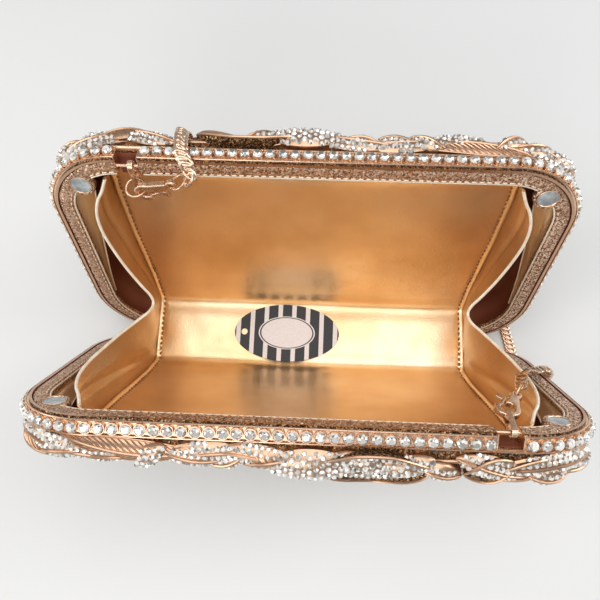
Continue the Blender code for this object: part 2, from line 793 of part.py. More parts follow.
def make_gusset(name, sign):
    """A folded leather gusset between the two panels, with its free edge at the mouth."""
    rear = gusset_rows()
    front = [[Vector((p.x, -p.y, p.z)) for p in row] for row in rear[-2::-1]]
    rows = []
    for seam, edge in rear + front:
        middle = (seam + edge) / 2
        rows.append([Vector((sign * p.x, p.y, p.z)) for p in (seam, middle, edge)])
    bm = bmesh.new()
    skin(bm, rows, closed=False)
    gusset = new_object(name, to_mesh(name, bm, SOFT_ANGLE), "gold_leather")
    sheet = gusset.modifiers.new("leather", "SOLIDIFY")
    sheet.thickness = LINING
    sheet.offset = 0
    sheet.use_even_offset = True


def make_label():
    """The plain oval card lying on the lining floor, with its string hole."""
    edge = []
    for x, y in arc(0, 0, 1, 0, 345, 23):
        edge.append((LABEL_CENTRE + x * LABEL_LENGTH / 2, y * LABEL_WIDTH / 2))
    hole_x = LABEL_CENTRE - LABEL_LENGTH / 2 + 3 * LABEL_HOLE
    hole = arc(hole_x, 0, LABEL_HOLE, 0, 315, 7)
    low = FLOOR_TOP + CLEARANCE
    mesh = flat_mesh("lining_label", [edge, hole], low, low + LABEL_CARD)
    new_object("lining_label", mesh, "card")


def make_hinge(which, centre):
    """One three-knuckle hinge: a leaf in each half's bottom wall, and the pin."""
    knuckle = (HINGE_LENGTH - 2 * CLEARANCE) / 3
    edge = HINGE_LENGTH / 2
    stretches = {
        "rear": [(-edge, -edge + knuckle), (edge - knuckle, edge)],
        "front": [(-knuckle / 2, knuckle / 2)],
    }
    bore = new_cutter(
        f"hinge_bore_{which}",
        rod_mesh(
            "bore",
            (centre - edge - OVERRUN, 0, HINGE_HEIGHT),
            (centre + edge + OVERRUN, 0, HINGE_HEIGHT),
            PIN_RADIUS + PIN_CLEARANCE,
        ),
    )
    for side, frame in FRAMES.items():
        x = centre if side == "rear" else -centre
        start = KNUCKLE_RADIUS + CLEARANCE
        plate_top = PLATE_LOW + LEAF_PLATE
        name = f"hinge_leaf_{side}_{which}"
        plate = box_mesh(name, ((x - edge, start, PLATE_LOW), (x + edge, LEAF_REACH, plate_top)))
        leaf = new_object(name, plate, "rose_gold", frame)
        for i, (low, high) in enumerate(stretches[side]):
            tongue = box_mesh("tongue", ((x + low, 0, PLATE_LOW), (x + high, start + WALL, plate_top)))
            cut(leaf, new_cutter(f"{name}_tongue_{i}", tongue, frame), "UNION")
            barrel = rod_mesh("barrel", (x + low, 0, 0), (x + high, 0, 0), KNUCKLE_RADIUS, 16)
            cut(leaf, new_cutter(f"{name}_barrel_{i}", barrel, frame), "UNION")
        cut(leaf, bore)
        holes = bmesh.new()
        for rivet in rivet_places(x):
            add_rod(holes, rivet - UP * OVERRUN, rivet + UP * OVERRUN, RIVET_RADIUS + PIN_CLEARANCE, 8)
        cut(leaf, new_cutter(f"{name}_holes", to_mesh("holes", holes), frame))
    half = edge - CLEARANCE
    pin = rod_mesh(
        f"hinge_pin_{which}",
        (centre - half, 0, HINGE_HEIGHT),
        (centre + half, 0, HINGE_HEIGHT),
        PIN_RADIUS,
    )
    new_object(f"hinge_pin_{which}", pin, "rose_gold")


def rivet_places(centre):
    """Where a leaf's two rivets stand, on the plate's lower face."""
    depth = (KNUCKLE_RADIUS + LEAF_REACH) / 2
    return [Vector((centre + s * RIVET_SPACING / 2, depth, PLATE_LOW)) for s in (-1, 1)]


def make_rivets(side):
    """The rivets that hold a half's two hinge leaves, each a shank under a round head."""
    head_low = PLATE_LOW + LEAF_PLATE + CLEARANCE
    feet = [foot for centre in (-HINGE_CENTRE, HINGE_CENTRE) for foot in rivet_places(centre)]
    for i, foot in enumerate(feet, 1):
        rings = []
        for radius, height in (
            (RIVET_RADIUS, PLATE_LOW),
            (RIVET_RADIUS, head_low),
            (RIVET_HEAD, head_low),
            (RIVET_HEAD * 0.7, head_low + RIVET_HEAD_HEIGHT),
        ):
            rings.append([(foot.x + x, foot.y + y, height) for x, y in arc(0, 0, radius, 0, 315, 7)])
        bm = bmesh.new()
        skin(bm, rings)
        name = f"hinge_rivet_{side}_{i}"
        new_object(name, to_mesh(name, bm), "rose_gold", FRAMES[side])


def make_ring_bar(side):
    half = NOTCH_WIDTH / 2 - CLEARANCE
    start = (NOTCH_CENTRE - half, BAR_DEPTH, BAR_HEIGHT)
    end = (NOTCH_CENTRE + half, BAR_DEPTH, BAR_HEIGHT)
    mesh = rod_mesh(f"{side}_ring_bar", start, end, BAR_RADIUS, 10)
    new_object(f"{side}_ring_bar", mesh, "rose_gold", FRAMES[side])


# A half's level directions in its own frame at rest: away from the mouth, and upwards
LEVEL = Vector((0, COSINE, SINE))
RISE = Vector((0, -SINE, COSINE))

# How each half's link and clasp lie: the link's place along the bar and its turn about the bar
# from straight down, how far the clasp has slid on what it holds, and the clasp's way
REAR_WAY = Vector((0.90, 0, 0)) + LEVEL * 0.08 + RISE * 0.43
FRONT_WAY = Vector((-0.50, 0, 0)) - LEVEL * 0.45 - RISE * 0.74
HANGING = {
    "rear": (REAR_LINK_SHIFT, REAR_LINK_TURN, REAR_SLACK, REAR_WAY),
    "front": (FRONT_LINK_SHIFT, FRONT_LINK_TURN, FRONT_SLACK, FRONT_WAY),
}


def hanging(side):
    """The places and directions of a half's link, ring and clasp, in its own frame.

    The rear clasp holds a ring that the link carries, and the front clasp holds its link.
    """
    shift, turn, slack, way = HANGING[side]
    bar = Vector((NOTCH_CENTRE + shift, BAR_DEPTH, BAR_HEIGHT))
    link_way = Vector((0, math.sin(turn), -math.cos(turn)))
    ring = bar + link_way * LINK_LENGTH - LEVEL * RING_RADIUS
    across = Vector((1, 0, 0))
    if side == "rear":
        out = across * math.cos(HOOK_TURN) + LEVEL * math.sin(HOOK_TURN)
        held = ring + out * RING_RADIUS
        wire = LEVEL * math.cos(HOOK_TURN) - across * math.sin(HOOK_TURN)
    else:
        held = bar + link_way * (LINK_LENGTH + LINK_INNER + LINK_STRAP / 2)
        wire = link_way.cross(across)
    way = way.normalized()
    normal = (wire - way * wire.dot(way)).normalized()
    turned = Matrix((way, normal.cross(way), normal)).transposed().to_4x4()
    clasp = Matrix.Translation(held + way * slack) @ turned
    return {"bar": bar, "link_way": link_way, "ring": ring, "clasp": clasp}


def make_link(side):
    """The flat closed link that joins the bar and the ring, standing across the bar."""
    found = hanging(side)
    outer = arc(0, 0, LINK_OUTER, 90, 270, 8) + arc(LINK_LENGTH, 0, LINK_OUTER, -90, 90, 8)
    inner = arc(0, 0, LINK_INNER, 90, 270, 6) + arc(LINK_LENGTH, 0, LINK_INNER, -90, 90, 6)
    across = Vector((1, 0, 0))
    turned = Matrix((found["link_way"], across.cross(found["link_way"]), across)).transposed().to_4x4()
    place = Matrix.Translation(found["bar"]) @ turned
    name = f"{side}_ring_link"
    mesh = flat_mesh(name, [outer, inner], -LINK_WIDTH / 2, LINK_WIDTH / 2, place)
    new_object(name, mesh, "rose_gold", FRAMES[side])


def make_ring():
    """The round ring on the rear half's link, lying level."""
    turned = Matrix((Vector((1, 0, 0)), LEVEL, RISE)).transposed().to_4x4()
    place = Matrix.Translation(hanging("rear")["ring"]) @ turned
    new_object("rear_ring", torus_mesh("rear_ring", RING_RADIUS, RING_WIRE, place), "rose_gold", FRAMES["rear"])


def clasp_outline():
    """The clasp body's outline in its own plane: round hook, tapering body and end eye."""
    points = arc(0, 0, CLASP_HOOK, 50, 310, 12)
    points.append((CLASP_LENGTH - EYE_OUTER, -CLASP_NECK))
    points += arc(CLASP_LENGTH, 0, EYE_OUTER, -120, 120, 8)
    points.append((CLASP_LENGTH - EYE_OUTER, CLASP_NECK))
    return points


def make_clasp_body(side):
    """The lobster clasp's body: an open hook whose gap the trigger closes."""
    place = hanging(side)["clasp"]
    far = (CLASP_LENGTH - CLASP_HOLE - EYE_OUTER) / 3
    hole = arc(0, 0, CLASP_HOLE, 90, 270, 8) + arc(far, 0, CLASP_HOLE * 0.75, -90, 90, 6)
    eye = arc(CLASP_LENGTH, 0, EYE_INNER, 0, 324, 9)
    name = f"{side}_clasp_body"
    half = CLASP_DEPTH / 2
    mesh = flat_mesh(name, [clasp_outline(), hole, eye], -half, half, place)
    body = new_object(name, mesh, "rose_gold", FRAMES[side])
    low = (GATE_START - CLEARANCE, GATE_LOW - CLEARANCE - GATE_SWEEP, -OVERRUN)
    high = (GATE_END + CLEARANCE, GATE_HIGH + THUMB_HEIGHT, OVERRUN)
    gap = box_mesh("gate_gap", (low, high))
    gap.transform(place)
    cut(body, new_cutter(f"{name}_gap", gap, FRAMES[side]))


def make_clasp_trigger(side):
    """The gate that closes the hook, with its thumb lever past the pivot."""
    place = hanging(side)["clasp"]
    points = [
        (GATE_START, GATE_LOW),
        (GATE_PIVOT, GATE_LOW),
        (GATE_END, GATE_HIGH - THUMB_HEEL),
        (GATE_END, GATE_HIGH + THUMB_HEIGHT),
        (GATE_END - THUMB_WIDTH, GATE_HIGH + THUMB_HEIGHT),
        (GATE_PIVOT - THUMB_WIDTH, GATE_HIGH),
        (GATE_START, GATE_HIGH),
    ]
    half = CLASP_DEPTH / 2 - CLEARANCE
    name = f"{side}_clasp_trigger"
    mesh = flat_mesh(name, [points], -half, half, place)
    new_object(name, mesh, "rose_gold", FRAMES[side])


def make_jump_ring(side):
    """The small ring through the clasp's eye, across its plane, that holds the chain's end."""
    place = hanging(side)["clasp"]
    centre = Matrix.Translation((CLASP_LENGTH + JUMP_RADIUS, 0, 0))
    upright = Matrix.Rotation(math.pi / 2, 4, "X")
    mesh = torus_mesh(f"{side}_jump_ring", JUMP_RADIUS, JUMP_WIRE, place @ centre @ upright, 16)
    new_object(f"{side}_jump_ring", mesh, "rose_gold", FRAMES[side])


def chain_end(side):
    """Two places in world space: where the chain meets its jump ring, and a little further on."""
    reach = CLASP_LENGTH + 2 * JUMP_RADIUS + JUMP_WIRE + CLEARANCE
    points = [hanging(side)["clasp"] @ Vector((reach + lead, 0, 0)) for lead in (0, CHAIN_LEAD)]
    return [to_world(side, point.x, point.z, point.y) for point in points]


# The chain's way over the rear rim, as places across, up and in depth on the rear half
REAR_RIM_RUN = [
    (-43.6, 113.4, -2.6),
    (-44.6, 116.6, -1.4),
    (-46.1, 118.4, 0.8),
    (-46.6, 119.0, 4.4),
    (-47.2, 118.9, 8.6),
    (-47.9, 117.2, 14.2),
    (-48.4, 112.6, 18.8),
]

# Down behind the bag to the floor and on to the coil
REAR_FLOOR_RUN = [
    (-48.7, 61.9, 96.0),
    (-48.8, 62.0, 84.0),
    (-48.8, 62.0, 66.0),
    (-48.8, 62.0, 48.0),
    (-48.8, 62.0, 30.0),
    (-48.8, 62.3, 14.0),
    (-48.5, 63.9, 5.5),
    (-47.0, 67.7, 1.4),
    (-42.8, 76.4, 0.95),
    (-34.4, 85.6, 0.95),
    (-23.4, 91.6, 1.1),
    (-12.6, 94.1, 1.5),
]

# From the coil round the right side of the bag and up beside the front half
FRONT_FLOOR_RUN = [
    (2.0, 94.1, 3.9),
    (12.0, 93.4, 2.6),
    (24.0, 91.0, 1.0),
    (42.0, 85.0, 0.95),
    (60.0, 75.5, 0.95),
    (75.0, 62.5, 0.95),
    (86.5, 46.0, 0.95),
    (94.0, 28.0, 0.95),
    (99.0, 10.0, 0.95),
    (102.6, -5.0, 0.95),
    (104.4, -14.5, 1.6),
    (104.9, -19.0, 6.5),
    (105.0, -19.8, 20.0),
    (105.0, -20.0, 34.0),
]

# Over the front half's side and rim to its clasp, as places on the front half
FRONT_RIM_RUN = [
    (-104.8, 43.2, 1.6),
    (-103.3, 46.4, -1.0),
    (-100.8, 48.2, -1.7),
    (-97.5, 50.2, -1.8),
    (-93.9, 55.2, -2.4),
    (-89.0, 64.0, -5.0),
    (-84.2, 72.4, -7.2),
    (-81.0, 78.6, -7.4),
]


def smooth_way(points, step):
    """Points about a step apart on a smooth curve through the given ones, with both ends kept."""
    points = [Vector(point) for point in points]
    ends = [points[0] * 2 - points[1]] + points + [points[-1] * 2 - points[-2]]
    way = []
    for before, one, two, after in zip(ends, ends[1:], ends[2:], ends[3:]):
        pieces = max(1, round((two - one).length / step))
        for i in range(pieces):
            t = i / pieces
            point = one * 2 + (two - before) * t
            point += (before * 2 - one * 5 + two * 4 - after) * t**2
            point += (one * 3 - before - two * 3 + after) * t**3
            way.append(point / 2)
    return way + [points[-1]]


def make_tube(name, points, sides):
    """A cord's stretch as a tube along its points."""
    curve = bpy.data.curves.new(name, "CURVE")
    curve.dimensions = "3D"
    curve.bevel_depth = CHAIN_RADIUS
    curve.bevel_resolution = sides
    curve.use_fill_caps = True
    spline = curve.splines.new("POLY")
    spline.points.add(len(points) - 1)
    for place, point in zip(spline.points, points):
        place.co = (*point, 1)
    curve.materials.append(new_material(name, "rose_gold"))
    tube = bpy.data.objects.new(name, curve)
    PARTS.objects.link(tube)


def coil_way():
    """The put-away length: turns that spiral in on the lower layer and out again on the upper one."""
    points = []
    count = COIL_TURNS * COIL_POINTS
    for i in range(count + 1):
        share = i / count
        turns = share * COIL_TURNS
        inward = min(turns, COIL_TURNS - turns)
        radius = COIL_RADIUS - COIL_PITCH * inward
        climb = min(max((turns - COIL_TURNS / 2) * 2 + 0.5, 0), 1)
        angle = math.pi / 2 - 2 * math.pi * turns
        x, y = COIL_X + radius * math.cos(angle), COIL_Y + radius * math.sin(angle)
        points.append(Vector((x, y, COIL_Z + COIL_LAYER * climb)))
    return points


def least_gap(points, radius):
    """The least gap between stretches of a tube that lie at least half a turn apart."""
    apart = COIL_POINTS // 2
    pairs = [(p - q).length for i, p in enumerate(points) for q in points[i + apart :]]
    return min(pairs) - 2 * radius


def rim_run(side, run):
    """World places of a stretch given on one half in millimetres."""
    return [to_world(side, across * MM, up * MM, deep * MM) for across, up, deep in run]


def make_chain():
    """The chain's three stretches, which meet face to face with a small gap."""
    rear = chain_end("rear") + rim_run("rear", REAR_RIM_RUN)
    rear += [Vector(point) * MM for point in REAR_FLOOR_RUN]
    front = [Vector(point) * MM for point in FRONT_FLOOR_RUN] + rim_run("front", FRONT_RIM_RUN)
    front += chain_end("front")[::-1]
    coil = coil_way()
    rear.append(coil[0] - Vector((CLEARANCE, 0, 0)))
    front.insert(0, coil[-1] + Vector((CLEARANCE, 0, 0)))
    make_tube("chain_rear_run", smooth_way(rear, CHAIN_STEP), 2)
    make_tube("chain_front_run", smooth_way(front, CHAIN_STEP), 2)
    make_tube("chain_coil", coil, 1)
    print("chain_coil least gap to itself, mm:", round(least_gap(coil, CHAIN_RADIUS) / MM, 2))


def make_tie():
    """The flat strap round the coil's turns, on the side next to the bag."""
    inner = COIL_RADIUS - COIL_PITCH * COIL_TURNS / 2
    near, far = inner - CHAIN_RADIUS - TIE_MARGIN, COIL_RADIUS + CHAIN_RADIUS + TIE_MARGIN
    low, high = COIL_Z - CHAIN_RADIUS - CLEARANCE, COIL_Z + COIL_LAYER + CHAIN_RADIUS + CLEARANCE
    strap = TIE_STRAP
    outside = [(near - strap, low - strap), (far + strap, low - strap)]
    outside += [(far + strap, high + strap), (near - strap, high + strap)]
    inside = [(near, low), (far, low), (far, high), (near, high)]
    turned = Matrix(((0, 0, 1), (-1, 0, 0), (0, 1, 0))).to_4x4()
    place = Matrix.Translation((COIL_X, COIL_Y, 0)) @ turned
    mesh = flat_mesh("chain_tie", [outside, inside], -TIE_WIDTH / 2, TIE_WIDTH / 2, place)
    new_object("chain_tie", mesh, "card")


for half_side in FRAMES:
    make_shell(half_side)
    make_rim_band(half_side)
    make_magnets(half_side)
    make_stone_channel(half_side)
    make_rim_stones(half_side)
    make_leaf_relief(half_side)
    make_lining_panel(half_side)
    make_ring_bar(half_side)
    make_link(half_side)
    make_clasp_body(half_side)
    make_clasp_trigger(half_side)
    make_jump_ring(half_side)
    make_rivets(half_side)
make_ring()
make_hinge("left", -HINGE_CENTRE)
make_hinge("right", HINGE_CENTRE)
make_lining_floor()
make_gusset("gusset_left", -1)
make_gusset("gusset_right", 1)
make_label()
make_chain()
make_tie()
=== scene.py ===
"""The looks of the open clutch: chain, leather lining, glitter rims, set stones, leaves and clasps.

Each half is made in its own frame, x across, y away from the mouth (depth) and z up the half,
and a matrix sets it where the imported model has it. All lengths are in metres.
"""

import json
import math
import random

import bmesh
import bpy
from mathutils import Matrix, Vector, noise


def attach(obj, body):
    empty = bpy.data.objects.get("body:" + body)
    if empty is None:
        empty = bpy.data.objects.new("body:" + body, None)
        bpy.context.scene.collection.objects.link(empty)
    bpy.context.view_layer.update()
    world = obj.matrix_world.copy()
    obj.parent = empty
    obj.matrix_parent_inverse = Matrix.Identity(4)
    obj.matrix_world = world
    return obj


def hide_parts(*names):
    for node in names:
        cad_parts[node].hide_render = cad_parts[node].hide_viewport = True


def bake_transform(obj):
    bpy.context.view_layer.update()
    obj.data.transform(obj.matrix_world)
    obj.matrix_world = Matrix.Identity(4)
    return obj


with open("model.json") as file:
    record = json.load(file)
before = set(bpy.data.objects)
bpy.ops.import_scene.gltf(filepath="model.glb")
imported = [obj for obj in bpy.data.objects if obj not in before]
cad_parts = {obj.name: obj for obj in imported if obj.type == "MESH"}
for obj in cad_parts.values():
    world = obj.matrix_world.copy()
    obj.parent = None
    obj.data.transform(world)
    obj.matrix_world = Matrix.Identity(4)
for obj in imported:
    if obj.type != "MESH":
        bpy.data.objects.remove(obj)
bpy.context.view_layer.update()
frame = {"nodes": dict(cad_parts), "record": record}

MM = 0.001

# The case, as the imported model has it
CASE_WIDTH = 200 * MM
CASE_HEIGHT = 115 * MM
SHELL_DEPTH = 17 * MM
TOP_CORNER = 28 * MM
BOTTOM_CORNER = 32 * MM
BACK_EDGE = 9 * MM
WALL = 1.0 * MM
RIM_GAP = 0.3 * MM
RIM_LIP = 1.2 * MM
CLEARANCE = 0.3 * MM
HALF_OPENING = math.radians(22.8)
OUTLINE_STEPS = 16
EDGE_STEPS = 8

# Notch for the ring, and the hinges' places
NOTCH_CENTRE = -66.8 * MM
NOTCH_WIDTH = 8.6 * MM
NOTCH_DEPTH = 5.5 * MM
NOTCH_SPARE = 0.4 * MM
SHELL_NOTCH_DROP = 5 * MM
BAND_NOTCH_DROP = 12 * MM
CHANNEL_NOTCH_DROP = 4 * MM
HINGE_CENTRE = 44.88 * MM
HINGE_LENGTH = 24 * MM
HINGE_ROOM = 2.5 * MM
HINGE_CUT = 5 * MM
HINGE_TOP = 9 * MM
HINGE_SPARE = 2 * MM
CUT_SPARE = 4 * MM

# Fabric band and magnets
BAND_OUTSET = 1.3 * MM
BAND_WIDTH = 5.8 * MM
BAND_BOTTOM_WIDTH = 4.0 * MM
BAND_BACK = 3.0 * MM
BAND_RUN_STEP = 0.9 * MM
MAGNET_ACROSS = 86.8 * MM
MAGNETS = {"left": -MAGNET_ACROSS, "right": MAGNET_ACROSS}
MAGNET_HEIGHT = 101.8 * MM
MAGNET_RADIUS = 4.0 * MM
MAGNET_FACE = 0.5 * MM
MAGNET_BACK = 1.9 * MM
MAGNET_WIRE = 0.2 * MM
TAB_RADIUS = 5.4 * MM
TAB_FACE = 0.28 * MM
TAB_BACK = 2.8 * MM
PIPING_RADIUS = 0.36 * MM
FRAME_PLATE = 0.28 * MM
FRAME_DROP = 10.5 * MM
FRAME_SIDE_DROP = 6.4 * MM
FRAME_RISE = 1.1 * MM
FRAME_FRONT = 0.5 * MM
FRAME_LAP = 0.1 * MM
PIPING_LINE = (1.0, 1.0 * MM)
STITCH_LINE = (0.80, 0.42 * MM)
STITCH_PITCH = 2.7 * MM
STITCH_LENGTH = 1.8 * MM
STITCH_RADIUS = 0.3 * MM
SEAM_STITCH_RADIUS = 0.39 * MM

# Stone row
STONE_PITCH = 4.5 * MM
STONE_RADIUS = 1.95 * MM
STONE_DEPTH = 3.6 * MM
STONE_SEAT = 1.85 * MM
STONE_CROWN = 1.3 * MM
FINE_STEP = 0.1 * MM
STONE_SPARE = 0.5 * MM
CUP_SPARE = 0.06 * MM
CUP_DROP = 0.35 * MM
CUP_WIRE = (0.2 * MM, 0.6 * MM)
PAVE_RADIUS = 1.12 * MM
PAVE_PITCH = 1.95 * MM
PAVE_CROWN = 0.75 * MM
PAVE_SINK = 0.1 * MM
GRAIN_RADIUS = 0.3 * MM

# Lining, as wide as it is halfway up the panels
LINING_WIDTH = 161 * MM
LINING = 0.7 * MM
FLOOR_TOP_RISE = 6.2 * MM
FLOOR_BEND = (18.5 * MM, 12.9 * MM)
LINING_STEP = 0.95 * MM
FLOOR_SHARE = 0.12
END_FOLD = 0.8 * MM
CREASE_FADE = 8 * MM
FOLD_PLACE = 1.2 * MM
FOLD_WIDTH = 0.9 * MM
FOLD_RISE = 0.95 * MM
SEAM_PLACE = 2.7 * MM
SEAM_WIDTH = 0.7 * MM
SEAM_DROP = 0.6 * MM
SEAM_THREAD_RISE = 0.2 * MM
SEAM_COLUMN = 6
LINING_CUT = 103.5 * MM
LINING_CUT_DEPTH = 20 * MM
FACING_LOW = 30 * MM
FACING_HIGH = 97 * MM
FACING_REACH = 8 * MM
FACING_DEPTH = 3.5 * MM
FACING_LAP = 0.4 * MM
FACING_LEAST = 0.6 * MM
FACING_SINK = 0.4 * MM
FACING_BELLY = 0.7 * MM
FACING_WAVE = 0.4 * MM
FACING_EDGE_RADIUS = 0.3 * MM
FACING_ROWS = 30
FACING_COLUMNS = 8
GUSSET_EDGE_HALF = 73 * MM
GUSSET_LEAN = 5 * MM
GUSSET_CREASE_RISE = 46 * MM
GUSSET_TOP_REACH = 41 * MM
GUSSET_TOP_RISE = 97 * MM
GUSSET_FALL_SHARE = 1.35
GUSSET_EDGE_RADIUS = 0.62 * MM
GUSSET_BELLY = 1.3 * MM
GUSSET_WAVE = 0.8 * MM
GUSSET_INSET = 0.4 * MM
GUSSET_BEND = 20 * MM
GUSSET_PIECES = 5
GUSSET_COLUMNS = 18

# Label
LABEL_LENGTH = 52 * MM
LABEL_WIDTH = 28.5 * MM
LABEL_CARD = 0.5 * MM
LABEL_CENTRE = -11.4 * MM
LABEL_HOLE = 1.6 * MM
LABEL_CUT = 2 * MM
LABEL_ROUND = (0.15 * MM, 0.12 * MM)
STRIPE_PITCH = 6.9 * MM
STRIPE_SHARE = 0.68
PLAIN_OVAL = (0.27 * LABEL_LENGTH, 0.29 * LABEL_WIDTH)

# Chain
WIRE_SIDES = 6
LINK_PITCH = 2.35 * MM
LINK_HALVES = (2.75 * MM, 1.3 * MM)
LINK_WIRE = (0.74 * MM, 0.55 * MM)
LINK_STEPS = 14
LINK_TILT = math.radians(9)
LINK_TURN = math.radians(40)
TWIST_SPREAD = 6
CHAIN_STEP = 2.7 * MM
COIL_TURNS = 4
COIL_STEPS = 24
COIL_RADIUS = 30.1 * MM
COIL_PITCH = 5.2 * MM
COIL_LAYER = 2.3 * MM
COIL_CENTRE = Vector((-5 * MM, 64 * MM, 1.65 * MM))

# Up to where the chain lies on the floor, from where it hangs behind the bag and up to where it
# lies beside the front half, then what it goes round at the rear rim and at the front one
CHAIN_ON_FLOOR = 8 * MM
CHAIN_BEHIND = 58 * MM
CHAIN_BESIDE = 40 * MM
REAR_RIM_AXIS = (6 * MM, 109 * MM)
FRONT_RIM_AXIS = (-90 * MM, 14 * MM)

# Leaves
LEAF_HEIGHT = 2.7 * MM
BACK_LEAF_HEIGHT = 4.4 * MM
LEAF_EDGE = 0.34 * MM
LEAF_LOW = 7.5 * MM
LEAF_DEEP = 17.5 * MM
LEAF_FAR = 108 * MM
LEAF_INSET = 6 * MM
LEAF_RIB = 0.55 * MM
LEAF_STEPS = 22
LEAF_WAYS = 12
LEAF_SPACING = 0.09
LEAF_LEAST = 0.4 * MM
VEIN_RADIUS = 0.3 * MM
VEIN_PITCH = 2.2 * MM
STEM_RADIUS = 0.9 * MM
STEM_STEPS = 40
STEM_WAVE = 0.012

JOINTS = {joint["name"]: joint for joint in frame["record"]["behaviour"]["joints"]}
HINGE_HEIGHT = JOINTS["mouth_hinge"]["pos_m"][2]
FLOOR_TOP = HINGE_HEIGHT + FLOOR_TOP_RISE
ACROSS = Vector((1, 0, 0))
DEEP = Vector((0, 1, 0))
UP = Vector((0, 0, 1))

# Camera, from the photograph's perspective, with its turns in degrees
CAMERA_LENS = 36
SENSOR_WIDTH = 36
CAMERA_TURNS = [("X", 11.81), ("Y", 1.77), ("Z", 1.98)]
CAMERA_PLACE = (3.9 * MM, -45 * MM, 303.4 * MM + HINGE_HEIGHT)

# Floor and world
FLOOR_SIZE = 4
FLOOR_DROP = 0.02 * MM
WORLD_COLOUR = (0.92, 0.94, 0.97, 1)
WORLD_STRENGTH = 0.4

# Lights: size, power, place, what it aims at and colour
LIGHTS = {
    "overhead": ((1.0, 1.0), 6.2, (0.05, 0.05, 1.1), (0, 0, 0), (1, 1, 1)),
    "left_box": ((0.35, 0.8), 3.2, (-0.8, -0.1, 0.55), (0, 0, 0.05), (1, 0.98, 0.95)),
    "right_box": ((0.3, 0.7), 3, (0.8, 0.2, 0.5), (0, 0, 0.05), (1, 1, 1)),
    "front_box": ((0.5, 0.4), 1.9, (-0.25, -0.75, 0.6), (0, 0, 0.06), (1, 0.98, 0.95)),
}


def half_matrix(turn):
    tilt = Matrix.Rotation(turn, 4, "Z") @ Matrix.Rotation(-HALF_OPENING, 4, "X")
    return Matrix.Translation((0, 0, HINGE_HEIGHT)) @ tilt


HALVES = {"rear": half_matrix(0), "front": half_matrix(math.pi)}
BODIES = {"rear": "rear_half", "front": "front_half"}


def on_half(side, across, height, depth):
    """A place on a half as a world place."""
    return HALVES[side] @ Vector((across, depth, height))


def in_half(side, point):
    """A world place as a place in a half's own frame."""
    return HALVES[side].inverted() @ point


def shown(name, data):
    """A new object in the scene."""
    thing = bpy.data.objects.new(name, data)
    bpy.context.scene.collection.objects.link(thing)
    return thing


def make_camera():
    data = bpy.data.cameras.new("camera")
    data.lens = CAMERA_LENS
    data.sensor_width = SENSOR_WIDTH
    camera = shown("camera", data)
    turn = Matrix()
    for axis, degrees in CAMERA_TURNS:
        turn = turn @ Matrix.Rotation(math.radians(degrees), 4, axis)
    camera.matrix_world = Matrix.Translation(CAMERA_PLACE) @ turn
    bpy.context.scene.camera = camera
    bpy.context.scene.view_settings.view_transform = "Standard"


# Materials

class Finish:
    """A material and its node tree, with short ways to add and join nodes."""

    def __init__(self, name, colour, metallic, roughness):
        self.material = bpy.data.materials.new(name)
        self.material.use_nodes = True
        self.tree = self.material.node_tree
        self.shader = self.tree.nodes["Principled BSDF"]
        self.shader.inputs["Base Color"].default_value = (*colour, 1)
        self.shader.inputs["Metallic"].default_value = metallic
        self.shader.inputs["Roughness"].default_value = roughness
        self.place = self.tree.nodes.new("ShaderNodeTexCoord").outputs["Object"]

    def add(self, kind, inputs=(), **settings):
        made = self.tree.nodes.new(kind)
        for key, value in settings.items():
            setattr(made, key, value)
        for key, value in dict(inputs).items():
            if isinstance(value, bpy.types.NodeSocket):
                self.tree.links.new(value, made.inputs[key])
            else:
                made.inputs[key].default_value = value
        return made

    def number(self, operation, one, two=0.0):
        """A sum on one or two numbers."""
        return self.add("ShaderNodeMath", {0: one, 1: two}, operation=operation).outputs[0]

    def vector(self, operation, one, two=(0, 0, 0)):
        """A sum on one or two vectors."""
        return self.add("ShaderNodeVectorMath", {0: one, 1: two}, operation=operation).outputs[0]

    def noise(self, scale, detail):
        made = self.add("ShaderNodeTexNoise", {"Vector": self.place, "Scale": scale, "Detail": detail})
        return made.outputs["Fac"]

    def cells(self, scale):
        return self.add("ShaderNodeTexVoronoi", {"Vector": self.place, "Scale": scale}).outputs

    def ramp(self, value, stops):
        made = self.add("ShaderNodeValToRGB", {"Fac": value})
        elements = made.color_ramp.elements
        while len(elements) < len(stops):
            elements.new(0.5)
        for element, (at, colour) in zip(elements, stops):
            element.position = at
            element.color = (*colour, 1)
        return made.outputs["Color"]

    def spread(self, value, low, high):
        made = self.add("ShaderNodeMapRange", {"Value": value, "To Min": low, "To Max": high})
        return made.outputs["Result"]

    def give(self, socket, value):
        self.tree.links.new(value, self.shader.inputs[socket])

    def bump(self, height, strength, distance):
        made = self.add("ShaderNodeBump", {"Height": height, "Strength": strength, "Distance": distance})
        self.give("Normal", made.outputs["Normal"])

    def tint(self, scale, detail, *stops):
        """Colour that drifts over the surface."""
        self.give("Base Color", self.ramp(self.noise(scale, detail), stops))

    def gloss(self, scale, detail, low, high):
        """Roughness that varies over the surface."""
        self.give("Roughness", self.spread(self.noise(scale, detail), low, high))

    def grain(self, scale, detail, strength, distance):
        """A slightly uneven face."""
        self.bump(self.noise(scale, detail), strength, distance)


def leather(name, deep, mid, light, metallic, roughness):
    """Metallic leather: soft colour drift, uneven gloss and a small pebble grain."""
    finish = Finish(name, mid, metallic, roughness)
    finish.tint(22, 3, (0.3, deep), (0.5, mid), (0.72, light))
    finish.gloss(160, 3, roughness - 0.08, roughness + 0.1)
    pebbles = finish.number("ADD", finish.cells(950)["Distance"], finish.noise(2600, 2))
    finish.bump(pebbles, 0.35, 0.12 * MM)
    return finish.material


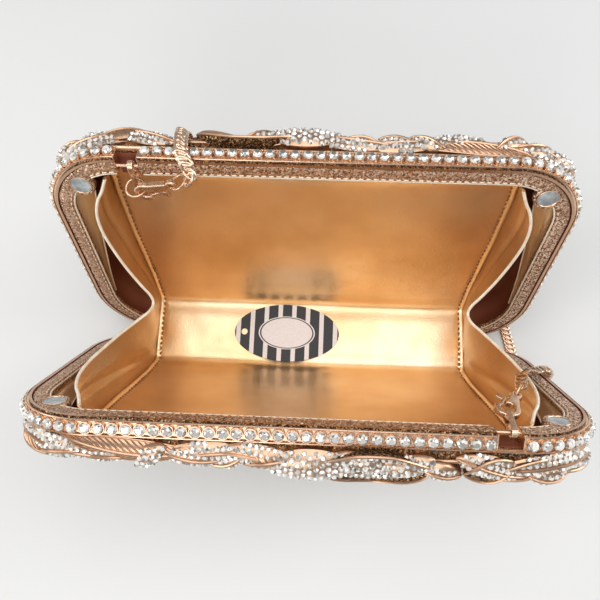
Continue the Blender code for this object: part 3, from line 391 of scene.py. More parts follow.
def glitter(name, dark, mid, light, scale, tilt):
    """Cloth covered in flakes: each cell has its own tint, gloss and tilt."""
    finish = Finish(name, mid, 0.75, 0.4)
    cells = finish.cells(scale)["Color"]
    flake = finish.add("ShaderNodeSeparateColor", {"Color": cells}).outputs
    finish.give("Base Color", finish.ramp(flake["Red"], [(0.1, dark), (0.55, mid), (0.95, light)]))
    finish.give("Roughness", finish.spread(flake["Green"], 0.15, 0.6))
    lean = finish.vector("MULTIPLY", finish.vector("SUBTRACT", cells, (0.5,) * 3), (tilt,) * 3)
    normal = finish.add("ShaderNodeNewGeometry").outputs["Normal"]
    finish.give("Normal", finish.vector("NORMALIZE", finish.vector("ADD", normal, lean)))
    return finish.material


def gold(name, colour, roughness):
    """Plated cast metal: faint tone drift, worn gloss and a slightly uneven face."""
    finish = Finish(name, colour, 1.0, roughness)
    shade = tuple(0.9 * part for part in colour)
    finish.tint(260, 3, (0.35, shade), (0.6, colour))
    finish.gloss(700, 3, roughness - 0.06, roughness + 0.12)
    finish.grain(700, 2, 0.06, 0.1 * MM)
    return finish.material


def crystal():
    """Foil-backed glass: every facet takes its own tone between grey and white, painted reflections of
    dark and bright surroundings.
    """
    finish = Finish("crystal", (0.9, 0.9, 0.92), 0.25, 0.06)
    facet = finish.add("ShaderNodeNewGeometry").outputs["True Normal"]
    rounded = finish.vector("SNAP", finish.vector("ADD", facet, finish.place), (0.05,) * 3)
    tone = finish.add("ShaderNodeTexWhiteNoise", {"Vector": rounded}, noise_dimensions="3D")
    # Facet tones from dark grey to near white: painted reflections and glints
    stops = [(0.08, (0.22, 0.20, 0.18)), (0.42, (0.66, 0.63, 0.58)), (0.75, (0.96, 0.94, 0.89))]
    finish.give("Base Color", finish.ramp(tone.outputs["Value"], stops))
    finish.shader.inputs["Coat Weight"].default_value = 0.5
    finish.shader.inputs["Coat Roughness"].default_value = 0.03
    return finish.material


def steel():
    """Plated magnet discs: dull, slightly uneven steel."""
    finish = Finish("magnet_steel", (0.5, 0.54, 0.55), 0.9, 0.3)
    finish.tint(420, 4, (0.35, (0.36, 0.40, 0.41)), (0.65, (0.62, 0.66, 0.67)))
    finish.gloss(1500, 4, 0.25, 0.45)
    finish.grain(1800, 3, 0.15, 0.08 * MM)
    return finish.material


def striped_card():
    """The label's face: charcoal and white stripes round a plain pale oval with a thin border."""
    finish = Finish("card", (0.9, 0.86, 0.86), 0.0, 0.5)
    charcoal = (0.022, 0.021, 0.025)
    paper = (0.86, 0.80, 0.80)
    across = finish.add("ShaderNodeSeparateXYZ", {"Vector": finish.place}).outputs["X"]
    share = finish.number("FRACT", finish.number("MULTIPLY", across, 1 / STRIPE_PITCH))
    dark = finish.number("LESS_THAN", share, STRIPE_SHARE)
    stripes = finish.ramp(dark, [(0.45, paper), (0.55, charcoal)])
    shift = finish.vector("SUBTRACT", finish.place, (LABEL_CENTRE, 0, FLOOR_TOP))
    oval = finish.vector("MULTIPLY", shift, (1 / PLAIN_OVAL[0], 1 / PLAIN_OVAL[1], 0))
    reach = finish.add("ShaderNodeVectorMath", {0: oval}, operation="LENGTH").outputs["Value"]
    plain = finish.ramp(reach, [(0.90, paper), (0.91, charcoal), (0.95, charcoal), (0.96, paper)])
    outside = finish.number("GREATER_THAN", reach, 1.0)
    both = finish.add("ShaderNodeMix", {"Factor": outside, "A": plain, "B": stripes}, data_type="RGBA")
    tone = finish.ramp(finish.noise(1200, 3), [(0.3, (0.9, 0.9, 0.9)), (0.7, (1, 1, 1))])
    inputs = {"Factor": 1.0, "A": both.outputs["Result"], "B": tone}
    toned = finish.add("ShaderNodeMix", inputs, data_type="RGBA", blend_type="MULTIPLY")
    finish.give("Base Color", toned.outputs["Result"])
    finish.grain(2400, 2, 0.1, 0.05 * MM)
    return finish.material


def thread(name, deep, light):
    """Waxed stitching thread."""
    finish = Finish(name, light, 0.4, 0.45)
    finish.tint(1600, 2, (0.3, deep), (0.6, light))
    finish.grain(4000, 1, 0.3, 0.06 * MM)
    return finish.material


def edge_paint():
    """The smooth pale paint along cut leather edges."""
    finish = Finish("edge_paint", (0.95, 0.84, 0.66), 0.15, 0.3)
    finish.tint(300, 3, (0.35, (0.90, 0.75, 0.55)), (0.6, (0.99, 0.91, 0.77)))
    finish.grain(1100, 2, 0.1, 0.1 * MM)
    return finish.material


def paper_band():
    """The plain paper band round the spare chain."""
    finish = Finish("paper_band", (0.80, 0.78, 0.74), 0.0, 0.75)
    finish.tint(900, 4, (0.3, (0.72, 0.70, 0.66)), (0.7, (0.86, 0.84, 0.80)))
    finish.grain(3000, 3, 0.2, 0.06 * MM)
    return finish.material


# Leathers and glitters from dark to light, then how metallic and rough, or how fine and tilted
FINISHES = {
    "lining": leather(
        "gold_leather", (0.74, 0.50, 0.26), (0.88, 0.64, 0.39), (0.96, 0.76, 0.52), 0.90, 0.32
    ),
    # fold: the gold lining leather made darker and deeper orange, painted shade on the gussets in the
    # side folds
    "fold": leather(
        "fold_leather", (0.48, 0.26, 0.11), (0.60, 0.36, 0.17), (0.72, 0.46, 0.24), 0.88, 0.36
    ),
    # side: dark red-brown standing in for the gold leather in shadow, painted shade inside the case and
    # in the notch
    "side": leather(
        "side_leather", (0.16, 0.04, 0.018), (0.28, 0.08, 0.04), (0.38, 0.14, 0.07), 0.2, 0.5
    ),
    "band": glitter(
        "glitter_fabric", (0.24, 0.11, 0.06), (0.55, 0.32, 0.20), (0.95, 0.72, 0.52), 1900, 0.9
    ),
    "shell": glitter(
        "dark_shell", (0.04, 0.018, 0.01), (0.14, 0.07, 0.035), (0.75, 0.48, 0.25), 2100, 0.8
    ),
    "gold": gold("rose_gold", (0.84, 0.59, 0.42), 0.24),
    # relief: the rose gold darker and browner, partly the metal's own rose tone and partly painted shade
    # between the stones
    "relief": gold("relief_gold", (0.60, 0.38, 0.25), 0.28),
    "chain": gold("chain_gold", (0.84, 0.62, 0.46), 0.24),
    "crystal": crystal(),
    "steel": steel(),
    "card": striped_card(),
    "thread": thread("pale_thread", (0.78, 0.56, 0.38), (0.98, 0.84, 0.66)),
    "seam": thread("seam_thread", (0.16, 0.06, 0.02), (0.42, 0.20, 0.08)),
    "edge": edge_paint(),
    "paper": paper_band(),
}


# Mesh helpers

def skin(bm, rings, closed=True, looped=False, caps=True, index=0):
    """Faces between neighbouring rings of points, with the end rings capped unless looped."""
    rows = [[bm.verts.new(point) for point in ring] for ring in rings]
    count = len(rows[0])
    for one, two in zip(rows, rows[1:] + (rows[:1] if looped else [])):
        for i in range(count if closed else count - 1):
            j = (i + 1) % count
            bm.faces.new((one[i], one[j], two[j], two[i])).material_index = index
    if closed and caps and not looped:
        bm.faces.new(rows[0]).material_index = index
        bm.faces.new(rows[-1]).material_index = index
    return rows


def tube(bm, points, radius, sides=8, index=0, taper=1.0):
    """A round tube along points, tapered at both ends where taper is under one."""
    points = [Vector(point) for point in points]
    side = None
    rings = []
    for i, point in enumerate(points):
        along = (points[min(i + 1, len(points) - 1)] - points[max(i - 1, 0)]).normalized()
        if side is None:
            side = along.orthogonal()
        side = (side - along * side.dot(along)).normalized()
        over = along.cross(side)
        end = min(i, len(points) - 1 - i)
        size = radius * (taper if end == 0 else 1)
        ring = []
        for j in range(sides):
            turn = 2 * math.pi * j / sides
            ring.append(point + (side * math.cos(turn) + over * math.sin(turn)) * size)
        rings.append(ring)
    skin(bm, rings, index=index)


def turned(bm, profile, place, steps=40, looped=False):
    """A turned shape: a profile of radius and height on an axis set by place, capped unless looped."""
    rings = []
    for radius, height in profile:
        ring = []
        for i in range(steps):
            turn = 2 * math.pi * i / steps
            ring.append(place @ Vector((radius * math.cos(turn), radius * math.sin(turn), height)))
        rings.append(ring)
    skin(bm, rings, looped=looped)


def add_ring(bm, centre, axes, halves, wire, steps, index=0):
    """An oval ring of flattened wire, which lies in the plane of the first two of its axes."""
    one, two, over = axes
    rings = []
    for i in range(steps):
        turn = 2 * math.pi * i / steps
        out = one * math.cos(turn) * halves[0] + two * math.sin(turn) * halves[1]
        away = out.normalized()
        ring = []
        for j in range(WIRE_SIDES):
            roll = 2 * math.pi * j / WIRE_SIDES
            ring.append(centre + out + away * math.cos(roll) * wire[0] + over * math.sin(roll) * wire[1])
        rings.append(ring)
    skin(bm, rings, looped=True, index=index)


def box_mesh(low, high):
    bm = bmesh.new()
    centre = (Vector(low) + Vector(high)) / 2
    size = Vector(high) - Vector(low)
    bmesh.ops.create_cube(bm, size=1, matrix=Matrix.Translation(centre) @ Matrix.Diagonal((*size, 1)))
    return bm


def make(name, bm, finishes, side=None, body=None, smooth=40):
    """A new piece from a bmesh: placed on its half, smoothed, given its finishes and its body."""
    bmesh.ops.recalc_face_normals(bm, faces=bm.faces[:])
    mesh = bpy.data.meshes.new(name)
    bm.to_mesh(mesh)
    bm.free()
    if side:
        mesh.transform(HALVES[side])
    if smooth:
        mesh.shade_smooth()
        mesh.set_sharp_from_angle(angle=math.radians(smooth))
    for finish in finishes:
        mesh.materials.append(FINISHES[finish])
    thing = shown(name, mesh)
    if body or side:
        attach(thing, body or BODIES[side])
    return thing


def bend(piece, reach):
    """Bakes the piece's placement into its mesh; reach is not used."""
    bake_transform(piece)


def carve(bm, cutters):
    """The bmesh with other bmeshes cut away from it."""
    holders = []
    for i, source in enumerate([bm, *cutters]):
        mesh = bpy.data.meshes.new(f"carve_{i}")
        bmesh.ops.recalc_face_normals(source, faces=source.faces[:])
        source.to_mesh(mesh)
        source.free()
        holders.append(shown(f"carve_{i}", mesh))
    for cutter in holders[1:]:
        modifier = holders[0].modifiers.new(cutter.name, "BOOLEAN")
        modifier.operation = "DIFFERENCE"
        modifier.object = cutter
        modifier.material_mode = "INDEX"
    evaluated = holders[0].evaluated_get(bpy.context.evaluated_depsgraph_get())
    made = bmesh.new()
    made.from_mesh(evaluated.to_mesh())
    for holder in holders:
        bpy.data.objects.remove(holder, do_unlink=True)
    return made


def arc(x, y, radius, start, end, steps):
    """Points on a circle, from one angle in degrees to another, both ends included."""
    points = []
    for i in range(steps + 1):
        turn = math.radians(start + (end - start) * i / steps)
        points.append((x + radius * math.cos(turn), y + radius * math.sin(turn)))
    return points


def case_outline(inset, bottom=None):
    """The rim's outline as (x, z), drawn in by inset, and by bottom at the hinge side."""
    bottom = inset if bottom is None else bottom
    top, low = TOP_CORNER - inset, BOTTOM_CORNER - inset
    right = CASE_WIDTH / 2 - inset
    roof = CASE_HEIGHT - inset
    points = arc(right - low, bottom + low, low, 270, 360, OUTLINE_STEPS)
    points += arc(right - top, roof - top, top, 0, 90, OUTLINE_STEPS)
    points += arc(top - right, roof - top, top, 90, 180, OUTLINE_STEPS)
    points += arc(low - right, bottom + low, low, 180, 270, OUTLINE_STEPS)
    return points


def outline_ring(inset, depth, bottom=None):
    return [(x, depth, z) for x, z in case_outline(inset, bottom)]


def rim_path(outset):
    """The stone row's way as (x, z), from the lower right corner over the top to the lower left one."""
    points = case_outline(-outset)
    skipped = OUTLINE_STEPS // 2
    return points[skipped : len(points) - skipped]


def along_line(points, length):
    """The place at a length along a line of points."""
    for one, two in zip(points, points[1:]):
        if length <= (two - one).length:
            break
        length -= (two - one).length
    return one + (two - one).normalized() * length


def line_length(points):
    return sum((two - one).length for one, two in zip(points, points[1:]))


def smooth_way(points, step=None, pieces=1):
    """A smooth curve through points: new ones about a step apart, or so many pieces a stretch."""
    points = [Vector(point) for point in points]
    ends = [points[0] * 2 - points[1]] + points + [points[-1] * 2 - points[-2]]
    way = []
    for before, one, two, after in zip(ends, ends[1:], ends[2:], ends[3:]):
        if step:
            pieces = max(1, round((two - one).length / step))
        for i in range(pieces):
            t = i / pieces
            point = one * 2 + (two - before) * t
            point += (before * 2 - one * 5 + two * 4 - after) * t**2
            point += (one * 3 - before - two * 3 + after) * t**3
            way.append(point / 2)
    return way + [points[-1]]


def even_points(points, pitch):
    """Places a pitch apart along a line of points, each with the line's direction there."""
    places = []
    count = int(line_length(points) / pitch)
    left = pitch / 2
    for one, two in zip(points, points[1:]):
        reach = (two - one).length
        while left <= reach and len(places) < count:
            places.append((one.lerp(two, left / reach), (two - one).normalized()))
            left += pitch
        left -= reach
    return places


# Chain: the route's points as places on the halves and in the world, in millimetres

REAR_RIM_RUN = [
    (-44.83, 110.5, -4.0),
    (-43.4, 111.2, -4.2),
    (-43.6, 113.4, -2.6),
    (-44.6, 116.6, -1.4),
    (-46.1, 118.4, 0.8),
    (-46.6, 119.0, 4.4),
    (-47.2, 118.9, 8.6),
    (-47.9, 117.2, 14.2),
    (-48.4, 112.6, 18.8),
]
REAR_FLOOR_RUN = [
    (-48.7, 61.9, 96.0),
    (-48.8, 62.0, 84.0),
    (-48.8, 62.0, 66.0),
    (-48.8, 62.0, 48.0),
    (-48.8, 62.0, 30.0),
    (-48.8, 62.3, 14.0),
    (-48.5, 63.9, 5.5),
    (-47.0, 67.7, 1.4),
    (-42.8, 76.4, 0.95),
    (-34.4, 85.6, 0.95),
    (-23.4, 91.6, 1.1),
    (-12.6, 94.1, 1.5),
]
FRONT_FLOOR_RUN = [
    (2.0, 94.1, 3.9),
    (12.0, 93.4, 2.6),
    (24.0, 91.0, 1.0),
    (42.0, 85.0, 0.95),
    (60.0, 75.5, 0.95),
    (75.0, 62.5, 0.95),
    (86.5, 46.0, 0.95),
    (94.0, 28.0, 0.95),
    (99.0, 10.0, 0.95),
    (102.6, -5.0, 0.95),
    (104.4, -14.5, 1.6),
    (104.9, -19.0, 6.5),
    (105.0, -19.8, 20.0),
    (105.0, -20.0, 34.0),
]
FRONT_RIM_RUN = [
    (-104.8, 43.2, 1.6),
    (-103.3, 46.4, -1.0),
    (-100.8, 48.2, -1.7),
    (-97.5, 50.2, -1.8),
    (-93.9, 55.2, -2.4),
    (-89.0, 64.0, -5.0),
    (-84.2, 72.4, -7.2),
    (-81.0, 78.6, -7.4),
    (-79.12, 84.7, -5.1),
    (-78.33, 86.1, -4.9),
]


def coil_way():
    """The put-away length: turns that spiral in on the lower layer and out again on the upper one."""
    points = []
    count = COIL_TURNS * COIL_STEPS
    for i in range(count + 1):
        turns = i / count * COIL_TURNS
        inward = min(turns, COIL_TURNS - turns)
        radius = COIL_RADIUS - COIL_PITCH * inward
        climb = min(max((turns - COIL_TURNS / 2) * 2 + 0.5, 0), 1)
        angle = math.pi / 2 - 2 * math.pi * turns
        offset = Vector((radius * math.cos(angle), radius * math.sin(angle), COIL_LAYER * climb))
        points.append(COIL_CENTRE + offset)
    return points


def chain_way():
    """The whole chain's centreline from the rear clasp by the coil to the front clasp."""
    rear = [on_half("rear", *(Vector(point) * MM)) for point in REAR_RIM_RUN]
    rear += [Vector(point) * MM for point in REAR_FLOOR_RUN]
    front = [Vector(point) * MM for point in FRONT_FLOOR_RUN]
    front += [on_half("front", *(Vector(point) * MM)) for point in FRONT_RIM_RUN]
    return smooth_way(rear + coil_way() + front, CHAIN_STEP)


def flat_side(point):
    """Which way the chain's flat side faces: up on the floor, and away from the bag along it."""
    if point.z < CHAIN_ON_FLOOR:
        return UP
    if point.y > CHAIN_BEHIND:
        return DEEP
    if point.y > 0:
        local = in_half("rear", point)
        out = Vector((0, local.y - REAR_RIM_AXIS[0], local.z - REAR_RIM_AXIS[1]))
        return (HALVES["rear"].to_3x3() @ out).normalized()
    local = in_half("front", point)
    if local.z < CHAIN_BESIDE:
        return ACROSS
    out = Vector((local.x - FRONT_RIM_AXIS[0], local.y - FRONT_RIM_AXIS[1], 0))
    return (HALVES["front"].to_3x3() @ out).normalized()


def make_chain():
    """A flat curb chain whose links lap one over the next, and its centreline."""
    way = chain_way()
    places = even_points(way, LINK_PITCH)
    faces_out = [flat_side(point) for point, along in places]
    bm = bmesh.new()
    for i, (point, along) in enumerate(places):
        near = faces_out[max(0, i - TWIST_SPREAD) : i + TWIST_SPREAD + 1]
        over = sum(near, Vector())
        over = (over - along * over.dot(along)).normalized()
        across = over.cross(along)
        one = along * math.cos(LINK_TURN) + across * math.sin(LINK_TURN)
        two = across * math.cos(LINK_TURN) - along * math.sin(LINK_TURN)
        one = one * math.cos(LINK_TILT) + over * math.sin(LINK_TILT)
        rise = one.cross(two).normalized()
        add_ring(bm, point, (one, two, rise), LINK_HALVES, LINK_WIRE, LINK_STEPS)
    chain = make("chain", bm, ["chain"], smooth=60)
    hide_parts("chain_rear_run", "chain_coil", "chain_front_run")
    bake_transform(chain)
    return chain, way


# Shell, band and magnets

def shell_rings(inset, back):
    """Rings of one skin of the shell, from the rim to the back."""
    edge = BACK_EDGE - inset
    rings = [outline_ring(inset, RIM_GAP), outline_ring(inset, RIM_GAP + RIM_LIP)]
    for i in range(EDGE_STEPS + 1):
        turn = math.pi / 2 * i / EDGE_STEPS
        depth = back - edge + edge * math.sin(turn)
        rings.append(outline_ring(inset + edge * (1 - math.cos(turn)), depth))
    return rings


def notch_cutter(drop):
    """A box through the rim at the notch, down to a drop below the case's top."""
    low = (NOTCH_CENTRE - NOTCH_WIDTH / 2, -CUT_SPARE, CASE_HEIGHT - drop)
    high = (NOTCH_CENTRE + NOTCH_WIDTH / 2, NOTCH_DEPTH, CASE_HEIGHT + CUT_SPARE)
    return box_mesh(low, high)


def hinge_cutters(depth, height):
    """Boxes that leave room for the two hinges."""
    half = HINGE_LENGTH / 2 + 2 * CLEARANCE
    made = []
    for centre in (-HINGE_CENTRE, HINGE_CENTRE):
        low = (centre - half, -CUT_SPARE, -CUT_SPARE)
        made.append(box_mesh(low, (centre + half, depth, height)))
    return made


def make_shell(side):
    """The case: glitter-coated outside, an inside painted dark red-brown as the shade on its gold leather
    lining, with a darker gold edge between, partly painted shade.
    """
    bm = bmesh.new()
    outer = skin(bm, shell_rings(0, SHELL_DEPTH), caps=False)
    # The inner skin takes finish 1, the dark side colour: painted shade inside the case
    inner = skin(bm, shell_rings(WALL, SHELL_DEPTH - WALL), caps=False, index=1)
    bm.faces.new(outer[-1])
    bm.faces.new(inner[-1]).material_index = 1
    count = len(outer[0])
    for i in range(count):
        j = (i + 1) % count
        # The rim's edge takes finish 2, the darker relief gold: partly painted shade
        bm.faces.new((outer[0][i], outer[0][j], inner[0][j], inner[0][i])).material_index = 2
    cutters = [notch_cutter(SHELL_NOTCH_DROP)] + hinge_cutters(HINGE_ROOM, HINGE_CUT)
    shell = make(f"{side}_case", carve(bm, cutters), ["shell", "side", "relief"], side)
    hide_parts(f"{side}_shell")


# The padded band's section as share of its width and depth, from the outer back to the inner back
BAND_SECTION = [
    (0.0, BAND_BACK),
    (0.0, 1.1 * MM),
    (0.03, 0.7 * MM),
    (0.12, 0.42 * MM),
    (0.35, 0.3 * MM),
    (0.65, 0.32 * MM),
    (0.86, 0.5 * MM),
    (0.96, 0.9 * MM),
    (1.0, 1.5 * MM),
    (1.0, BAND_BACK),
]


def band_ring(share, depth):
    bottom = BAND_OUTSET + BAND_BOTTOM_WIDTH * share
    return outline_ring(BAND_OUTSET + BAND_WIDTH * share, depth, bottom)


def magnet_place(across):
    """An axis through a magnet's middle, out of the mouth."""
    return Matrix.Translation((across, 0, MAGNET_HEIGHT)) @ Matrix.Rotation(math.pi / 2, 4, "X")


def make_band(side):
    """The glitter cloth band with a round tab at each magnet."""
    columns = [band_ring(share, depth) for share, depth in BAND_SECTION]
    bm = bmesh.new()
    skin(bm, [list(ring) for ring in zip(*columns)], looped=True)
    inner = MAGNET_RADIUS + CLEARANCE
    cutters = [notch_cutter(BAND_NOTCH_DROP)] + hinge_cutters(HINGE_CUT, HINGE_ROOM)
    for across in MAGNETS.values():
        hole = bmesh.new()
        turned(hole, [(inner, -BAND_BACK), (inner, BAND_BACK)], magnet_place(across))
        cutters.append(hole)
    bm = carve(bm, cutters)
    profile = [
        (inner, -TAB_BACK),
        (inner, -TAB_FACE - 0.35 * MM),
        (inner + 0.2 * MM, -TAB_FACE - 0.05 * MM),
        (inner + 0.45 * MM, -TAB_FACE),
        (TAB_RADIUS - 0.35 * MM, -TAB_FACE - 0.12 * MM),
        (TAB_RADIUS, -TAB_FACE - 0.6 * MM),
        (TAB_RADIUS, -TAB_BACK),
    ]
    for across in MAGNETS.values():
        turned(bm, profile, magnet_place(across), looped=True)
    band = make(f"{side}_band", bm, ["band"], side)
    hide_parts(f"{side}_rim_band")


def make_magnets(side):
    """The steel discs in the band's corners, each in a thin gold ring."""
    face = MAGNET_RADIUS - 0.35 * MM
    profile = [
        (0.05 * MM, -MAGNET_FACE - 0.12 * MM),
        (face - 0.7 * MM, -MAGNET_FACE - 0.1 * MM),
        (face - 0.35 * MM, -MAGNET_FACE),
        (face, -MAGNET_FACE),
        (MAGNET_RADIUS, -MAGNET_FACE - 0.3 * MM),
        (MAGNET_RADIUS, -MAGNET_BACK),
    ]
    for which, across in MAGNETS.items():
        bm = bmesh.new()
        turned(bm, profile, magnet_place(across))
        centre = Vector((across, MAGNET_FACE, MAGNET_HEIGHT))
        halves, wire = (MAGNET_RADIUS, MAGNET_RADIUS), (MAGNET_WIRE, MAGNET_WIRE)
        add_ring(bm, centre, (ACROSS, UP, DEEP), halves, wire, 40, index=1)
        finishes = ["steel", "gold"]
        magnet = make(f"{side}_magnet_disc_{which}", bm, finishes, side, smooth=30)
        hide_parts(f"{side}_magnet_{which}")


def band_runs(share, depth):
    """The stretches of a line along the band that are clear of the notch, the magnets and the hinges."""
    ring = [Vector(point) for point in band_ring(share, depth)]
    runs = [[]]
    for point, along in even_points(ring + ring[:1], BAND_RUN_STEP):
        beside_notch = abs(point.x - NOTCH_CENTRE) < NOTCH_WIDTH / 2 + NOTCH_SPARE
        notch = beside_notch and point.z > CASE_HEIGHT / 2
        tab = math.hypot(abs(point.x) - MAGNET_ACROSS, point.z - MAGNET_HEIGHT) < TAB_RADIUS
        beside_hinge = abs(abs(point.x) - HINGE_CENTRE) < HINGE_LENGTH / 2 + HINGE_SPARE
        hinge = beside_hinge and point.z < HINGE_TOP
        if notch or tab or hinge:
            runs.append([])
        else:
            runs[-1].append(point)
    return [run for run in runs if len(run) > 3]


def add_stitch(bm, point, along, radius=STITCH_RADIUS, flat=0.3, index=0):
    """A short rounded stitch, full over its flat middle and thinner at both ends."""
    ends = [point + along * STITCH_LENGTH * share for share in (-0.5, -flat, flat, 0.5)]
    tube(bm, ends, radius, 6, index, taper=0.5)


def make_band_trim(side):
    """The pale piping along the band's inner edge and the stitched line beside it."""
    bm = bmesh.new()
    for run in band_runs(*PIPING_LINE):
        tube(bm, run, PIPING_RADIUS, 6)
    for run in band_runs(*STITCH_LINE):
        for point, along in even_points(run, STITCH_PITCH):
            add_stitch(bm, point, along, index=1)
    make(f"{side}_band_trim", bm, ["edge", "thread"], side)


def make_notch_frame(side):
    """The gold frame in the notch that carries the ring's bar, its back plate dark red-brown as painted
    shade in the notch.
    """
    bm = bmesh.new()
    half = NOTCH_WIDTH / 2
    low, high = CASE_HEIGHT - FRAME_DROP, CASE_HEIGHT + FRAME_RISE
    side_low = CASE_HEIGHT - FRAME_SIDE_DROP
    plates = [
        ((-half - FRAME_LAP, FRAME_FRONT, side_low), (FRAME_PLATE - half, NOTCH_DEPTH, high)),
        ((half - FRAME_PLATE, FRAME_FRONT, side_low), (half + FRAME_LAP, NOTCH_DEPTH, high)),
        ((-half, NOTCH_DEPTH - FRAME_PLATE, low), (half, NOTCH_DEPTH + FRAME_LAP, CASE_HEIGHT - WALL)),
    ]
    # The back plate takes finish 1, the dark side colour: painted shade in the notch's hollow
    for index, (one, two) in zip((0, 0, 1), plates):
        plate = box_mesh(one, two)
        bmesh.ops.translate(plate, vec=(NOTCH_CENTRE, 0, 0), verts=plate.verts[:])
        edges = plate.edges[:]
        bmesh.ops.bevel(plate, geom=edges, offset=FRAME_LAP, segments=2, profile=0.5, affect="EDGES")
        for face in plate.faces:
            face.material_index = index
        mesh = bpy.data.meshes.new("plate")
        plate.to_mesh(mesh)
        plate.free()
        bm.from_mesh(mesh)
        bpy.data.meshes.remove(mesh)
    make(f"{side}_notch_frame", bm, ["gold", "side"], side)


# Stones

# A cut stone's rings of corners, as shares of its radius and crown and of a turn between corners
STAR_TIERS = [(0.92, -0.5, 0), (1.0, 0, 0), (0.80, 0.62, 0.5), (0.48, 1.0, 0)]
PLAIN_TIERS = [(0.92, -0.5, 0), (1.0, 0, 0), (0.55, 1.0, 0)]


def brilliant(radius, crown, sides, star):
    """A cut stone's points and faces: girdle, crown and table, its axis up, with star facets or not."""
    tiers = STAR_TIERS if star else PLAIN_TIERS
    points = []
    for share, height, shift in tiers:
        for i in range(sides):
            turn = 2 * math.pi * (i + shift) / sides
            across, up = radius * share * math.cos(turn), radius * share * math.sin(turn)
            points.append(Vector((across, up, height * crown)))
    faces = [tuple(range(len(points) - sides, len(points)))]
    for i in range(sides):
        j = (i + 1) % sides
        low, middle, high = sides, 2 * sides, 3 * sides
        faces.append((i, j, low + j, low + i))
        if star:
            faces.append((low + i, low + j, middle + i))
            faces.append((low + j, middle + j, middle + i))
            faces.append((middle + i, middle + j, high + j))
            faces.append((middle + i, high + j, high + i))
        else:
            faces.append((low + i, low + j, middle + j, middle + i))
    return points, faces


RIM_STONE = brilliant(STONE_RADIUS, STONE_CROWN, 8, True)
PAVE_STONE = brilliant(PAVE_RADIUS, PAVE_CROWN, 7, False)


def add_stone(bm, stone, place, size=1.0):
    points, faces = stone
    corners = [bm.verts.new(place @ (point * size)) for point in points]
    for face in faces:
        bm.faces.new([corners[i] for i in face])


def facing(point, out, roll=0.0):
    """A place at a point with its z axis along out."""
    turn = Vector(out).to_track_quat("Z", "Y").to_matrix().to_4x4()
    return Matrix.Translation(point) @ turn @ Matrix.Rotation(roll, 4, "Z")


def stone_places(outset):
    """Places along the rim with the way out of the wall, evenly pitched from the notch both ways."""
    points = [Vector((x, STONE_DEPTH, z)) for x, z in rim_path(outset)]
    total = line_length(points)
    over_notch = Vector((NOTCH_CENTRE, STONE_DEPTH, CASE_HEIGHT + outset))
    fine = [FINE_STEP * i for i in range(int(total / FINE_STEP))]
    notch = min(fine, key=lambda length: (along_line(points, length) - over_notch).length)
    room = NOTCH_WIDTH / 2 + STONE_RADIUS + STONE_SPARE
    count = int(total / STONE_PITCH)
    lengths = [notch + way * (room + i * STONE_PITCH) for way in (-1, 1) for i in range(count)]
    places = []
    for length in sorted(lengths):
        if not STONE_RADIUS < length < total - STONE_RADIUS:
            continue
        place = along_line(points, length)
        ahead = along_line(points, length + STONE_RADIUS) - along_line(points, length - STONE_RADIUS)
        along = ahead.normalized()
        places.append((place, Vector((along.z, 0, -along.x))))
    return places


# The channel's section in millimetres: way out of the case and depth
CHANNEL_SECTION = [
    (0.0, 1.3),
    (0.7, 1.3),
    (0.75, 0.95),
    (0.95, 0.8),
    (1.2, 0.95),
    (1.25, 1.25),
    (1.1, 1.5),
    (0.9, 1.6),
    (0.9, 5.6),
    (1.4, 5.7),
    (1.7, 5.95),
    (1.65, 6.3),
    (1.3, 6.48),
    (0.95, 6.35),
    (0.0, 6.2),
]


def make_stone_row(side):
    """The gold channel with a cup for each stone, and the row of stones."""
    columns = []
    for outset, depth in CHANNEL_SECTION:
        columns.append([(x, depth * MM, z) for x, z in rim_path(outset * MM)])
    bm = bmesh.new()
    skin(bm, [list(ring) for ring in zip(*columns)])
    bm = carve(bm, [notch_cutter(CHANNEL_NOTCH_DROP)])
    places = stone_places(STONE_SEAT)
    radius = STONE_RADIUS + CUP_SPARE
    for point, out in places:
        axes = [facing(point, out).to_3x3() @ way for way in (ACROSS, DEEP, UP)]
        add_ring(bm, point - out * CUP_DROP, axes, (radius, radius), CUP_WIRE, 16)
    channel = make(f"{side}_stone_setting", bm, ["gold"], side)
    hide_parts(f"{side}_stone_channel")
    stones = bmesh.new()
    shuffle = random.Random(7 if side == "rear" else 11)
    for point, out in places:
        add_stone(stones, RIM_STONE, facing(point, out, shuffle.uniform(0, math.pi)))
    row = make(f"{side}_stone_row", stones, ["crystal"], side, smooth=0)
    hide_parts(f"{side}_rim_stones_left", f"{side}_rim_stones_right")


# Leaves

def on_wall(along, deep, out):
    """A place off the outer wall, by the ways along it from the middle of the top and in from the rim."""
    flat = CASE_WIDTH / 2 - TOP_CORNER
    straight = SHELL_DEPTH - BACK_EDGE
    turn = min(max((abs(along) - flat) / TOP_CORNER, 0), math.pi / 2)
    roll = min(max((deep - straight) / BACK_EDGE, 0), math.pi / 2)
    beyond = max(abs(along) - flat - TOP_CORNER * math.pi / 2, 0)
    radius = TOP_CORNER - BACK_EDGE + (BACK_EDGE + out) * math.cos(roll)
    reach = min(abs(along), flat) + radius * math.sin(turn)
    height = CASE_HEIGHT - TOP_CORNER + radius * math.cos(turn) - beyond
    depth = min(deep, straight) + (BACK_EDGE + out) * math.sin(roll)
    return Vector((math.copysign(reach, along), depth, height))


def on_back(across, height, out):
    """A place off the back of the shell."""
    return Vector((across, SHELL_DEPTH + out, height))


